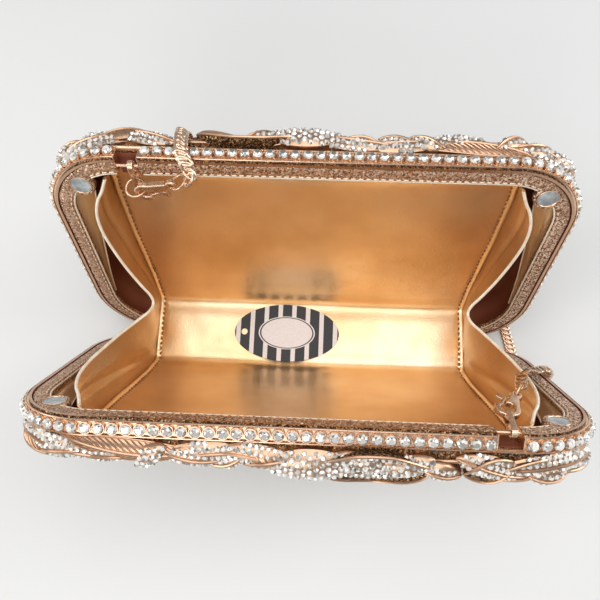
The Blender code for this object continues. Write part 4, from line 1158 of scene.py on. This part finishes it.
# Leaves on the top wall: way along it, way in, length, width, rise, turn in degrees, bend
TOP_LEAF_SHARES = [
    (-0.820, 0.62, 0.260, 0.46, 0.9, 4, 0.05),
    (-0.620, 0.70, 0.130, 0.50, 1.2, -14, 0.0),
    (-0.235, 0.86, 0.195, 0.85, 2.4, 0, -0.06),
    (-0.030, 0.80, 0.150, 0.75, 2.0, 0, 0.0),
    (0.130, 0.64, 0.170, 0.46, 1.2, -10, 0.06),
    (0.330, 0.62, 0.190, 0.42, 1.0, 6, 0.04),
    (0.560, 0.64, 0.220, 0.50, 1.1, -5, -0.05),
    (0.830, 0.62, 0.250, 0.44, 0.9, -8, 0.04),
]

# Leaves on the back: place across and in height, length, width, rise, turn in degrees, bend
BACK_LEAF_SHARES = [
    (-0.70, 0.78, 0.26, 0.13, 1.0, 35, 0.08),
    (-0.40, 0.81, 0.25, 0.14, 1.0, -20, -0.06),
    (-0.06, 0.80, 0.27, 0.15, 1.0, 15, 0.07),
    (0.28, 0.81, 0.26, 0.14, 1.0, -25, 0.06),
    (0.62, 0.80, 0.24, 0.13, 1.0, 20, -0.07),
    (-0.76, 0.46, 0.22, 0.13, 1.0, -50, 0.06),
    (-0.45, 0.50, 0.23, 0.15, 1.0, 40, 0.08),
    (-0.14, 0.50, 0.23, 0.15, 1.0, -35, -0.06),
    (0.18, 0.49, 0.24, 0.14, 1.0, 45, 0.06),
    (0.50, 0.50, 0.24, 0.15, 1.0, -40, 0.07),
    (0.80, 0.50, 0.22, 0.13, 1.0, 55, -0.06),
    (-0.54, 0.20, 0.26, 0.13, 1.0, 12, 0.06),
    (-0.20, 0.20, 0.27, 0.14, 1.0, -12, -0.07),
    (0.16, 0.20, 0.27, 0.14, 1.0, 14, 0.06),
    (0.52, 0.20, 0.26, 0.13, 1.0, -14, 0.06),
]

# What each main leaf is, in the orders above, and what the small ones are drawn from
TOP_LEAF_KINDS = ["pave", "pave", "open", "ball", "pave", "pave", "vein", "pave"]
BACK_LEAF_KINDS = ["pave", "open", "pave", "vein", "pave"] * 3
SMALL_LEAF_KINDS = ["pave", "pave", "pave", "open", "ball", "pave", "vein"]

# Small leaves: how many, most turn in degrees, and least and most rise
SMALL_TOP_LEAVES = (30, 60, (1.1, 1.7))
SMALL_BACK_LEAVES = (44, 180, (0.6, 0.95))

# Stems, from and to, with places as in the leaves' own lists
TOP_STEM_SHARES = [((-0.82, 0.62), (0.83, 0.62))]
BACK_STEM_SHARES = [
    ((-0.70, 0.79), (0.62, 0.81)),
    ((-0.76, 0.475), (0.80, 0.485)),
    ((-0.54, 0.205), (0.52, 0.195)),
    ((0.03, 0.81), (0.02, 0.20)),
]


class Leaf:
    """One cast leaf's surface, laid on the seat that carries it."""

    def __init__(self, seat, shares, reach, leaf_height, kind):
        along, up, length, width, rise, turn, bend = shares
        self.seat = seat
        self.centre = (along * CASE_WIDTH / 2, up * reach)
        self.length = length * CASE_WIDTH
        self.half = width * reach / 2
        self.height = rise * leaf_height
        self.cosine = math.cos(math.radians(turn))
        self.sine = math.sin(math.radians(turn))
        self.bend = bend
        self.kind = kind

    def swell(self, share):
        power = 0.5 if self.kind == "ball" else 0.7
        return math.sin(math.pi * min(max(share, 0.002), 0.998)) ** power

    def place(self, share, across, out):
        """The place at a share of the length, a share of the half width and a way out of the seat."""
        u = (share - 0.5) * self.length
        v = self.bend * self.length * (1 - self.swell(share)) + across * self.half * self.swell(share)
        one = self.centre[0] + u * self.cosine - v * self.sine
        two = self.centre[1] + u * self.sine + v * self.cosine
        return self.seat(one, two, out)

    def top(self, share, across):
        """How far out the leaf's face lies: a dome, or a hollow inside a raised edge."""
        crest = self.height * (0.4 + 0.6 * self.swell(share))
        fall = 1 - 0.5 * across**2
        if self.kind == "open":
            fall = 0.2 + 0.75 * abs(across) ** 3
        return max(crest * fall, LEAF_LEAST)

    def point(self, share, across, lift=0.0):
        return self.place(share, across, self.top(share, across) + lift)

    def seat_for(self, share, across):
        """The face's place there and the way out of it."""
        here = self.point(share, across)
        ahead = self.point(share + 0.02, across) - here
        aside = self.point(share, across + 0.05) - here
        out = aside.cross(ahead)
        if out.dot(self.point(share, across, 1 * MM) - here) < 0:
            out = -out
        return here, out.normalized()


def add_leaf(bm, leaf):
    """The leaf's face with its sides down to the case, its wires, and veins where it has them."""
    shares = [0.01 + 0.98 * i / LEAF_STEPS for i in range(LEAF_STEPS + 1)]
    rows = []
    for share in shares:
        row = [leaf.place(share, -1, 0)]
        row += [leaf.point(share, -1 + 2 * j / LEAF_WAYS) for j in range(LEAF_WAYS + 1)]
        row.append(leaf.place(share, 1, 0))
        rows.append(row)
    skin(bm, rows, index=1 if leaf.kind == "open" else 0)
    edge = LEAF_EDGE * (1.6 if leaf.kind == "open" else 1)
    if leaf.kind in ("open", "vein"):
        for across in (-0.97, 0.97):
            tube(bm, [leaf.point(share, across, edge * 0.3) for share in shares], edge, 7, taper=0.5)
    if leaf.kind != "ball":
        tube(bm, [leaf.point(share, 0, LEAF_RIB * 0.3) for share in shares], LEAF_RIB, 7, taper=0.4)
    if leaf.kind == "vein":
        count = int(leaf.length / VEIN_PITCH)
        for i in range(1, count - 1):
            for across in (-1, 1):
                ways_out = [(i / count + 0.03 * j, across * 0.19 * j) for j in range(6)]
                vein = [leaf.point(*way, VEIN_RADIUS * 0.4) for way in ways_out]
                tube(bm, vein, VEIN_RADIUS, 5, taper=0.5)


def pave_places(leaf):
    """Shares of the length and of the half width for the stones that cover a leaf between its wires."""
    found = []
    count = max(2, int(leaf.length / PAVE_PITCH))
    for i in range(count):
        share = (i + 0.5) / count
        half = leaf.half * leaf.swell(share)
        last = half - 0.3 * PAVE_RADIUS
        offset = LEAF_RIB + 0.75 * PAVE_RADIUS
        if leaf.kind == "ball":
            offset = PAVE_PITCH / 2 * (i % 2)
        if leaf.kind == "open":
            offset = max(last - 1.2 * PAVE_RADIUS, offset)
        while offset < last:
            found.append((share, offset / half))
            if offset > 0:
                found.append((share, -offset / half))
            offset += 0.88 * PAVE_PITCH
    return found


def add_grain(bm, place):
    """A small cast bead between the stones."""
    corners = []
    for x, y in ((1, 0), (0, 1), (-1, 0), (0, -1)):
        corners.append(bm.verts.new(place @ Vector((x * GRAIN_RADIUS, y * GRAIN_RADIUS, 0))))
    for height in (-GRAIN_RADIUS, GRAIN_RADIUS):
        tip = bm.verts.new(place @ Vector((0, 0, height)))
        for i in range(4):
            bm.faces.new((corners[i], corners[(i + 1) % 4], tip))


def on_the_wall(one, two):
    """Whether a way along the top wall and a way in from the rim are free for a leaf."""
    return LEAF_LOW < two < LEAF_DEEP and abs(one) < LEAF_FAR


def on_the_back(one, two):
    """Whether a place on the back is well inside its rounded outline."""
    corner = TOP_CORNER if two > CASE_HEIGHT / 2 else BOTTOM_CORNER
    across = max(abs(one) - CASE_WIDTH / 2 + corner, 0)
    up = max(abs(two - CASE_HEIGHT / 2) - CASE_HEIGHT / 2 + corner, 0)
    return math.hypot(across, up) < corner - LEAF_INSET


def small_leaves(seed, amounts, reach, free, gap=None):
    """Small leaves scattered among the main ones, clear of the chain where it goes over the rim."""
    count, turns, rises = amounts
    shuffle = random.Random(seed)
    found = []
    for _ in range(count * 40):
        along = shuffle.uniform(-1.06, 1.06)
        up = shuffle.uniform(0.05, 1.0)
        length = shuffle.uniform(0.065, 0.12)
        width = shuffle.uniform(5.6, 8.6) * MM / reach
        shape = (shuffle.uniform(*rises), shuffle.uniform(-turns, turns), shuffle.uniform(-0.1, 0.1))
        leaf = Leaf(on_back, (along, up, length, width, *shape), reach, 0, "pave")
        rim = [(share, across) for share in (0.0, 0.3, 0.7, 1.0) for across in (-1, 1)]
        corners = [leaf.place(share, across, 0) for share, across in rim]
        near = False
        for other in found:
            rise = (other[1] - up) * reach / CASE_WIDTH * 2
            near = near or math.hypot(other[0] - along, rise) < LEAF_SPACING
        blocked = gap and gap[0] < along < gap[1]
        if not blocked and not near and all(free(corner.x, corner.z) for corner in corners):
            found.append((along, up, length, width, *shape))
        if len(found) == count:
            break
    return found


def make_leaves(side, name, seat, shares, kinds, stems, reach, leaf_height, seed):
    """A spray of cast leaves on their stems: wired, veined and set with small stones."""
    shuffle = random.Random(seed)
    cast = bmesh.new()
    stones = bmesh.new()
    for i, row in enumerate(shares):
        kind = kinds[i] if i < len(kinds) else shuffle.choice(SMALL_LEAF_KINDS)
        leaf = Leaf(seat, row, reach, leaf_height, kind)
        add_leaf(cast, leaf)
        if kind == "vein":
            continue
        for share, across in pave_places(leaf):
            point, out = leaf.seat_for(share, across)
            roll, size = shuffle.uniform(0, math.pi), shuffle.uniform(0.88, 1.08)
            add_stone(stones, PAVE_STONE, facing(point - out * PAVE_SINK, out, roll), size=size)
            if kind == "pave":
                step = PAVE_PITCH / 2
                point, out = leaf.seat_for(share + step / leaf.length, across)
                add_grain(cast, facing(point, out))
    for start, end in stems:
        line = []
        for i in range(STEM_STEPS + 1):
            one = start[0] + (end[0] - start[0]) * i / STEM_STEPS
            two = start[1] + (end[1] - start[1]) * i / STEM_STEPS + STEM_WAVE * math.sin(i * 0.7)
            line.append(seat(one * CASE_WIDTH / 2, two * reach, STEM_RADIUS * 0.5))
        tube(cast, line, STEM_RADIUS, 8, taper=0.6)
    # The cast takes the darker relief gold: partly its own rose tone, partly painted shade between the
    # stones
    relief = make(f"{side}_{name}_cast", cast, ["relief", "shell"], side, smooth=50)
    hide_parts(f"{side}_{name}")
    make(f"{side}_{name}_stones", stones, ["crystal"], side, smooth=0)


# Lining

# The panel's face in section: height and depth as shares of the case
PANEL_SHARES = [
    (0.944, 0.200),
    (0.922, 0.370),
    (0.861, 0.630),
    (0.765, 0.765),
    (0.522, 0.820),
    (0.261, 0.820),
    (0.106, 0.720),
]

# Half of the lining's width, by the share of the case's height
LINING_HALVES = [
    (0.10, 76.8 * MM),
    (0.26, 78.0 * MM),
    (0.52, 80.0 * MM),
    (0.77, 80.4 * MM),
    (0.86, 79.4 * MM),
    (0.92, 77.2 * MM),
]


def panel_section(side):
    """World places of the panel's face in the middle plane, from the rim down to the floor."""
    return [on_half(side, 0, up * CASE_HEIGHT, deep * SHELL_DEPTH) for up, deep in PANEL_SHARES]


FLOOR_HALF = panel_section("rear")[-1].y


def lining_section():
    """The lining's line from the rear rim down, round the floor and up to the front rim."""
    rear, front = [panel_section(side)[:-1] + [on_half(side, 0, *FLOOR_BEND)] for side in HALVES]
    floor = [Vector((0, FLOOR_HALF * share, FLOOR_TOP)) for share in (0.93, 0.4, -0.4, -0.93)]
    return smooth_way(rear + floor + front[::-1], LINING_STEP)


def outward(along):
    """The way off the lining's face, into the bag, where its line runs along from rear to front."""
    return Vector((0, along.z, -along.y))


def lining_half(point):
    """Half of the lining's width at a place on its line: widest well up the panels."""
    up = in_half("rear" if point.y > 0 else "front", point).z / CASE_HEIGHT
    for (low, one), (high, two) in zip(LINING_HALVES, LINING_HALVES[1:]):
        if up < high:
            share = max(0, (up - low) / (high - low))
            return one + (two - one) * share
    return LINING_HALVES[-1][1]


def seam_lift(side, walked):
    """How the leather stands at its sides: a round fold, then a valley drawn in by the stitches."""
    ridge = FOLD_RISE * math.exp(-(((side - FOLD_PLACE) / FOLD_WIDTH) ** 2))
    valley = SEAM_DROP * math.exp(-(((side - SEAM_PLACE) / SEAM_WIDTH) ** 2))
    pull = 0.55 + 0.45 * math.cos(2 * math.pi * walked / STITCH_PITCH)
    return ridge * (1.1 - 0.2 * pull) - pull * valley


# The leather's waves: how close together across it and along it, the place in the noise that
# they come from, and their height
CREASE_WAVES = [(24, 6, 3.1, 1.0 * MM), (55, 14, 8.3, 0.3 * MM)]


def crease(across, share):
    """Gentle unevenness of the leather: slow waves, with small folds at the floor's ends."""
    floor = max(0, 1 - abs(share - 0.5) / FLOOR_SHARE)
    flat = 0.2 + 0.8 * min(1, abs(share - 0.5) / FLOOR_SHARE)
    lift = 0
    for wide, long, start, height in CREASE_WAVES:
        lift += noise.noise(Vector((across * wide, share * long, start))) * height * flat
    end = max(0, abs(across) / (LINING_WIDTH / 2) - 0.6) / 0.4
    return lift + math.sin(abs(across) * 300 + (share - 0.5) * 40) * end * floor * END_FOLD


def lining_columns(half):
    """The lining's columns across it: close together at the seams, and at the notches' edges."""
    near = [half - step * MM for step in (0, 0.4, 0.8, 1.2, 1.7, 2.2, 2.7, 3.2, 3.8, 4.8)]
    near.append(abs(NOTCH_CENTRE) + NOTCH_WIDTH / 2)
    columns = near + [-across for across in near]
    columns += [(abs(NOTCH_CENTRE) - NOTCH_WIDTH / 2) * (i / 15 - 1) for i in range(31)]
    return sorted(columns)


def leather_sheet(name, rows, thickness, toward, finish="lining", side=None, smooth=60, opened=None):
    """A sheet through rows of points, made thicker on the side away from a place, and its area."""
    bm = bmesh.new()
    skin(bm, rows, closed=False)
    if opened:
        open_faces = [face for face in bm.faces if opened(face.calc_center_median())]
        bmesh.ops.delete(bm, geom=open_faces, context="FACES")
    area = sum(face.calc_area() for face in bm.faces)
    bmesh.ops.recalc_face_normals(bm, faces=bm.faces[:])
    faced = 0
    for face in bm.faces:
        faced += face.normal.dot(Vector(toward) - face.calc_center_median()) * face.calc_area()
    if faced < 0:
        bmesh.ops.reverse_faces(bm, faces=bm.faces[:])
    bmesh.ops.solidify(bm, geom=bm.faces[:], thickness=thickness)
    return make(name, bm, [finish], side, smooth=smooth), area


def in_notch(point):
    for side in HALVES:
        local = in_half(side, point)
        beside = abs(local.x - NOTCH_CENTRE) < NOTCH_WIDTH / 2
        if beside and local.y > -LINING_CUT_DEPTH and local.z > LINING_CUT:
            return True
    return False


def make_lining():
    """The gold leather from the rear rim across the floor to the front rim, stitched down its sides."""
    line = lining_section()
    total = line_length(line)
    rows = []
    walked = 0
    for i, point in enumerate(line):
        before, after = line[max(i - 1, 0)], line[min(i + 1, len(line) - 1)]
        walked += (point - before).length
        out = outward((after - before).normalized())
        half = lining_half(point)
        row = []
        for across in lining_columns(half):
            side = half - abs(across)
            fade = min(1, side / CREASE_FADE)
            lift = crease(across, walked / total) * fade + seam_lift(side, walked)
            row.append(point + Vector((across, 0, 0)) + out * lift)
        rows.append(row)
    lining, area = leather_sheet("lining", rows, LINING, (0, 0, 80 * MM), opened=in_notch)
    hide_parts("rear_lining_panel", "front_lining_panel", "lining_floor")
    bend(lining, FLOOR_HALF)
    stitches = bmesh.new()
    for column in (SEAM_COLUMN, -1 - SEAM_COLUMN):
        for point, along in even_points([row[column] for row in rows[3:-3]], STITCH_PITCH):
            if not in_notch(point):
                raised = point + outward(along) * SEAM_THREAD_RISE
                add_stitch(stitches, raised, along, SEAM_STITCH_RADIUS, 0.2)
    bend(make("lining_stitches", stitches, ["seam"]), FLOOR_HALF)


def make_facing(side, which, sign):
    """The gold leather facing between the band and the inside of the case, with its pale edge."""
    outer = CASE_WIDTH / 2 - BAND_OUTSET - BAND_WIDTH + FACING_LAP
    rows = []
    for i in range(FACING_ROWS + 1):
        share = i / FACING_ROWS
        height = FACING_LOW + (FACING_HIGH - FACING_LOW) * share
        row = []
        for j in range(FACING_COLUMNS + 1):
            reach = (FACING_LEAST + FACING_REACH * share**1.4) * j / FACING_COLUMNS
            belly = FACING_BELLY * math.sin(math.pi * j / FACING_COLUMNS)
            depth = BAND_BACK + (FACING_SINK + FACING_DEPTH * share) * j / FACING_COLUMNS - belly
            wave = noise.noise(Vector((height * 70, j * 0.3, 5.5 * sign))) * FACING_WAVE
            row.append(Vector((sign * (outer - reach), depth + wave, height)))
        rows.append(row)
    name, toward = f"{side}_facing_{which}", (0, -30 * MM, 60 * MM)
    facing_piece, area = leather_sheet(name, rows, LINING / 2, toward, side=side, smooth=40)
    edge = bmesh.new()
    tube(edge, [row[-1] for row in rows], FACING_EDGE_RADIUS, 6)
    make(f"{side}_facing_edge_{which}", edge, ["edge"], side)


# The gusset's free edge from the rear rim to the crease: reach from the middle plane as a
# share of the reach at the rim, and distance across as a share of the edge's own half width
GUSSET_EDGE_SHARES = [
    (1.000, 1.050),
    (0.927, 1.085),
    (0.854, 1.128),
    (0.756, 1.154),
    (0.634, 1.150),
    (0.488, 1.116),
    (0.341, 1.068),
    (0.195, 1.007),
    (0.085, 0.955),
    (0.000, 0.941),
]

# Where the seam lies for each of those places: along the panel's face, then across the floor
SEAM_PANEL_SHARES = [(0.922, 0.370), (0.861, 0.630), (0.765, 0.765), (0.643, 0.793)]
SEAM_PANEL_SHARES += [(0.522, 0.820), (0.383, 0.820), (0.261, 0.820), (0.106, 0.720)]
SEAM_FLOOR_SHARES = [0.5, 0.0]


def gusset_lines():
    """The seam and the free edge of the gusset at +x, each from the rear rim to the front rim."""
    seam = [on_half("rear", 0, up * CASE_HEIGHT, deep * SHELL_DEPTH) for up, deep in SEAM_PANEL_SHARES]
    seam += [Vector((0, share * FLOOR_HALF, FLOOR_TOP + LINING)) for share in SEAM_FLOOR_SHARES]
    seam = [point + Vector((lining_half(point) - GUSSET_INSET, 0, 0)) for point in seam]
    edge = []
    for reach, out in GUSSET_EDGE_SHARES:
        rise = GUSSET_CREASE_RISE + (GUSSET_TOP_RISE - GUSSET_CREASE_RISE) * reach**GUSSET_FALL_SHARE
        edge.append(Vector((out * GUSSET_EDGE_HALF, reach * GUSSET_TOP_REACH, HINGE_HEIGHT + rise)))
    lines = []
    for line in (seam, edge):
        front = [Vector((point.x, -point.y, point.z)) for point in line[-2::-1]]
        lines.append(line + front)
    for point in lines[1]:
        point.y += GUSSET_LEAN * (1 - abs(point.y) / GUSSET_TOP_REACH)
    return lines


def make_gusset(which, sign):
    """A folded gusset: leather that bellies between the seam and its pale painted edge."""
    seam, edge = [smooth_way(line, pieces=GUSSET_PIECES) for line in gusset_lines()]
    inward = Vector((-1, 0, 0.25)).normalized()
    rows = []
    for i, (one, two) in enumerate(zip(seam, edge)):
        near = 1 - abs(2 * i / (len(seam) - 1) - 1)
        row = []
        for j in range(GUSSET_COLUMNS + 1):
            share = j / GUSSET_COLUMNS
            inside = math.sin(math.pi * share)
            point = one.lerp(two, share)
            wave = noise.noise(Vector((point.y * 60, point.z * 60, 7.7 * sign))) * GUSSET_WAVE
            fold = GUSSET_BELLY * math.exp(-(((share - 0.95 + 0.9 * near) / 0.08) ** 2))
            point = point + inward * (GUSSET_BELLY + wave - fold) * inside
            row.append(Vector((sign * point.x, point.y, point.z)))
        rows.append(row)
    # The gusset takes the darker fold leather: painted shade in the side folds
    gusset, area = leather_sheet(f"{which}_fold", rows, LINING, (0, 0, 60 * MM), "fold")
    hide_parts(f"gusset_{which}")
    length = max(line_length([row[end] for row in rows]) for end in (0, -1))
    flat = (max(line_length(row) for row in rows), length)
    area = min(area, 0.99 * flat[0] * flat[1])
    bend(gusset, GUSSET_BEND)
    rim = bmesh.new()
    tube(rim, [row[-1] for row in rows], GUSSET_EDGE_RADIUS, 8)
    bend(make(f"{which}_fold_edge", rim, ["edge"], smooth=60), GUSSET_BEND)


def make_label():
    """The oval card on the lining floor, with rounded edges and its string hole."""
    low = FLOOR_TOP + CLEARANCE
    inset, rise = LABEL_ROUND
    rings = []
    for shrink, height in ((inset, 0), (0, rise), (0, LABEL_CARD - rise), (inset, LABEL_CARD)):
        ring = []
        for x, y in arc(0, 0, 1, 0, 355, 71):
            across = LABEL_CENTRE + x * (LABEL_LENGTH / 2 - shrink)
            ring.append((across, y * (LABEL_WIDTH / 2 - shrink), low + height))
        rings.append(ring)
    bm = bmesh.new()
    skin(bm, rings)
    hole = (LABEL_CENTRE - LABEL_LENGTH / 2 + 3 * LABEL_HOLE, 0, low + LABEL_CARD / 2)
    cutter = bmesh.new()
    turned(cutter, [(LABEL_HOLE, -LABEL_CUT), (LABEL_HOLE, LABEL_CUT)], Matrix.Translation(hole), 24)
    label = make("label_card", carve(bm, [cutter]), ["card"], smooth=30)
    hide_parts("lining_label")
    bend(label, FLOOR_HALF)


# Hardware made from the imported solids, softened as castings are

def softened(node, name, body, finish="gold", cell=0.12 * MM, rounds=5, swell=0):
    """A node's shape as a new piece with the rounded edges of a polished casting, and fuller by swell."""
    source = frame["nodes"][node]
    mesh = source.data.copy()
    mesh.transform(source.matrix_world)
    draft = shown(name, mesh)
    remesh = draft.modifiers.new("cells", "REMESH")
    remesh.mode = "VOXEL"
    remesh.voxel_size = cell
    grow = draft.modifiers.new("swell", "DISPLACE")
    grow.mid_level = 0
    grow.strength = swell
    smooth = draft.modifiers.new("polish", "SMOOTH")
    smooth.factor = 0.5
    smooth.iterations = rounds
    bm = bmesh.new()
    bm.from_mesh(draft.evaluated_get(bpy.context.evaluated_depsgraph_get()).to_mesh())
    for face in bm.faces:
        face.material_index = 0
    bpy.data.objects.remove(draft, do_unlink=True)
    piece = make(name, bm, [finish], body=body, smooth=80)
    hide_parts(node)
    return piece


def make_hardware():
    """Ring, links, jump rings, clasps, bars, hinges and the coil's tie, which it gives back."""
    softened("rear_ring", "ring", "rear_hook")
    for side, link_body in (("rear", "rear_link"), ("front", "front_hook")):
        hook, gate = f"{side}_hook", f"{side}_gate"
        softened(f"{side}_ring_link", f"{side}_bar_link", link_body)
        softened(f"{side}_ring_bar", f"{side}_bar", BODIES[side])
        softened(f"{side}_clasp_body", f"{side}_clasp", hook, rounds=9, swell=0.3 * MM)
        softened(f"{side}_clasp_trigger", f"{side}_trigger", gate, rounds=4, swell=0.15 * MM)
        softened(f"{side}_jump_ring", f"{side}_small_ring", hook, cell=0.1 * MM, rounds=3)
        for which in ("left", "right"):
            node = f"hinge_leaf_{side}_{which}"
            softened(node, f"{side}_hinge_{which}", BODIES[side], cell=0.2 * MM, rounds=3)
        for i in range(1, 5):
            softened(f"hinge_rivet_{side}_{i}", f"{side}_rivet_{i}", BODIES[side])
    for which in ("left", "right"):
        softened(f"hinge_pin_{which}", f"pin_{which}", "rear_half", cell=0.15 * MM)
    return softened("chain_tie", "tie", "rear_half", "paper", cell=0.15 * MM, rounds=3)


# Floor and lights

def make_stage():
    """The pale floor that the bag stands on."""
    bm = bmesh.new()
    bmesh.ops.create_grid(bm, x_segments=1, y_segments=1, size=FLOOR_SIZE)
    mesh = bpy.data.meshes.new("floor")
    bm.to_mesh(mesh)
    bm.free()
    finish = Finish("floor", (0.72, 0.72, 0.71), 0.0, 0.6)
    finish.tint(3, 2, (0.3, (0.70, 0.70, 0.69)), (0.7, (0.74, 0.74, 0.73)))
    mesh.materials.append(finish.material)
    floor = shown("floor", mesh)
    floor.location.z = -FLOOR_DROP


def make_lights():
    world = bpy.data.worlds.new("world")
    world.use_nodes = True
    background = world.node_tree.nodes["Background"]
    background.inputs["Color"].default_value = WORLD_COLOUR
    background.inputs["Strength"].default_value = WORLD_STRENGTH
    bpy.context.scene.world = world
    for name, (size, power, place, aim, colour) in LIGHTS.items():
        data = bpy.data.lights.new(name, "AREA")
        data.shape = "RECTANGLE"
        data.size, data.size_y = size
        data.energy = power
        data.color = colour
        light = shown(name, data)
        light.location = place
        light.rotation_euler = (Vector(aim) - Vector(place)).to_track_quat("-Z", "Y").to_euler()


def make_half(side, seed, chain_gap):
    """Everything that is fixed to one half of the case."""
    make_shell(side)
    make_band(side)
    make_band_trim(side)
    make_notch_frame(side)
    make_magnets(side)
    make_stone_row(side)
    shares = TOP_LEAF_SHARES + small_leaves(seed, SMALL_TOP_LEAVES, SHELL_DEPTH, on_the_wall, chain_gap)
    sizes = (SHELL_DEPTH, LEAF_HEIGHT, seed)
    make_leaves(side, "top_leaves", on_wall, shares, TOP_LEAF_KINDS, TOP_STEM_SHARES, *sizes)
    shares = BACK_LEAF_SHARES + small_leaves(seed + 1, SMALL_BACK_LEAVES, CASE_HEIGHT, on_the_back)
    sizes = (CASE_HEIGHT, BACK_LEAF_HEIGHT, seed)
    make_leaves(side, "back_leaves", on_back, shares, BACK_LEAF_KINDS, BACK_STEM_SHARES, *sizes)
    make_facing(side, "left", -1)
    make_facing(side, "right", 1)


make_camera()
chain, chain_line = make_chain()
on_chain = [make_hardware()]
for half in HALVES:
    on_chain += [bpy.data.objects[f"{half}_{name}"] for name in ("clasp", "trigger", "small_ring")]
make_half("rear", 3, (-0.57, -0.37))
make_half("front", 8, None)
make_lining()
make_gusset("left", -1)
make_gusset("right", 1)
make_label()
make_stage()
make_lights()
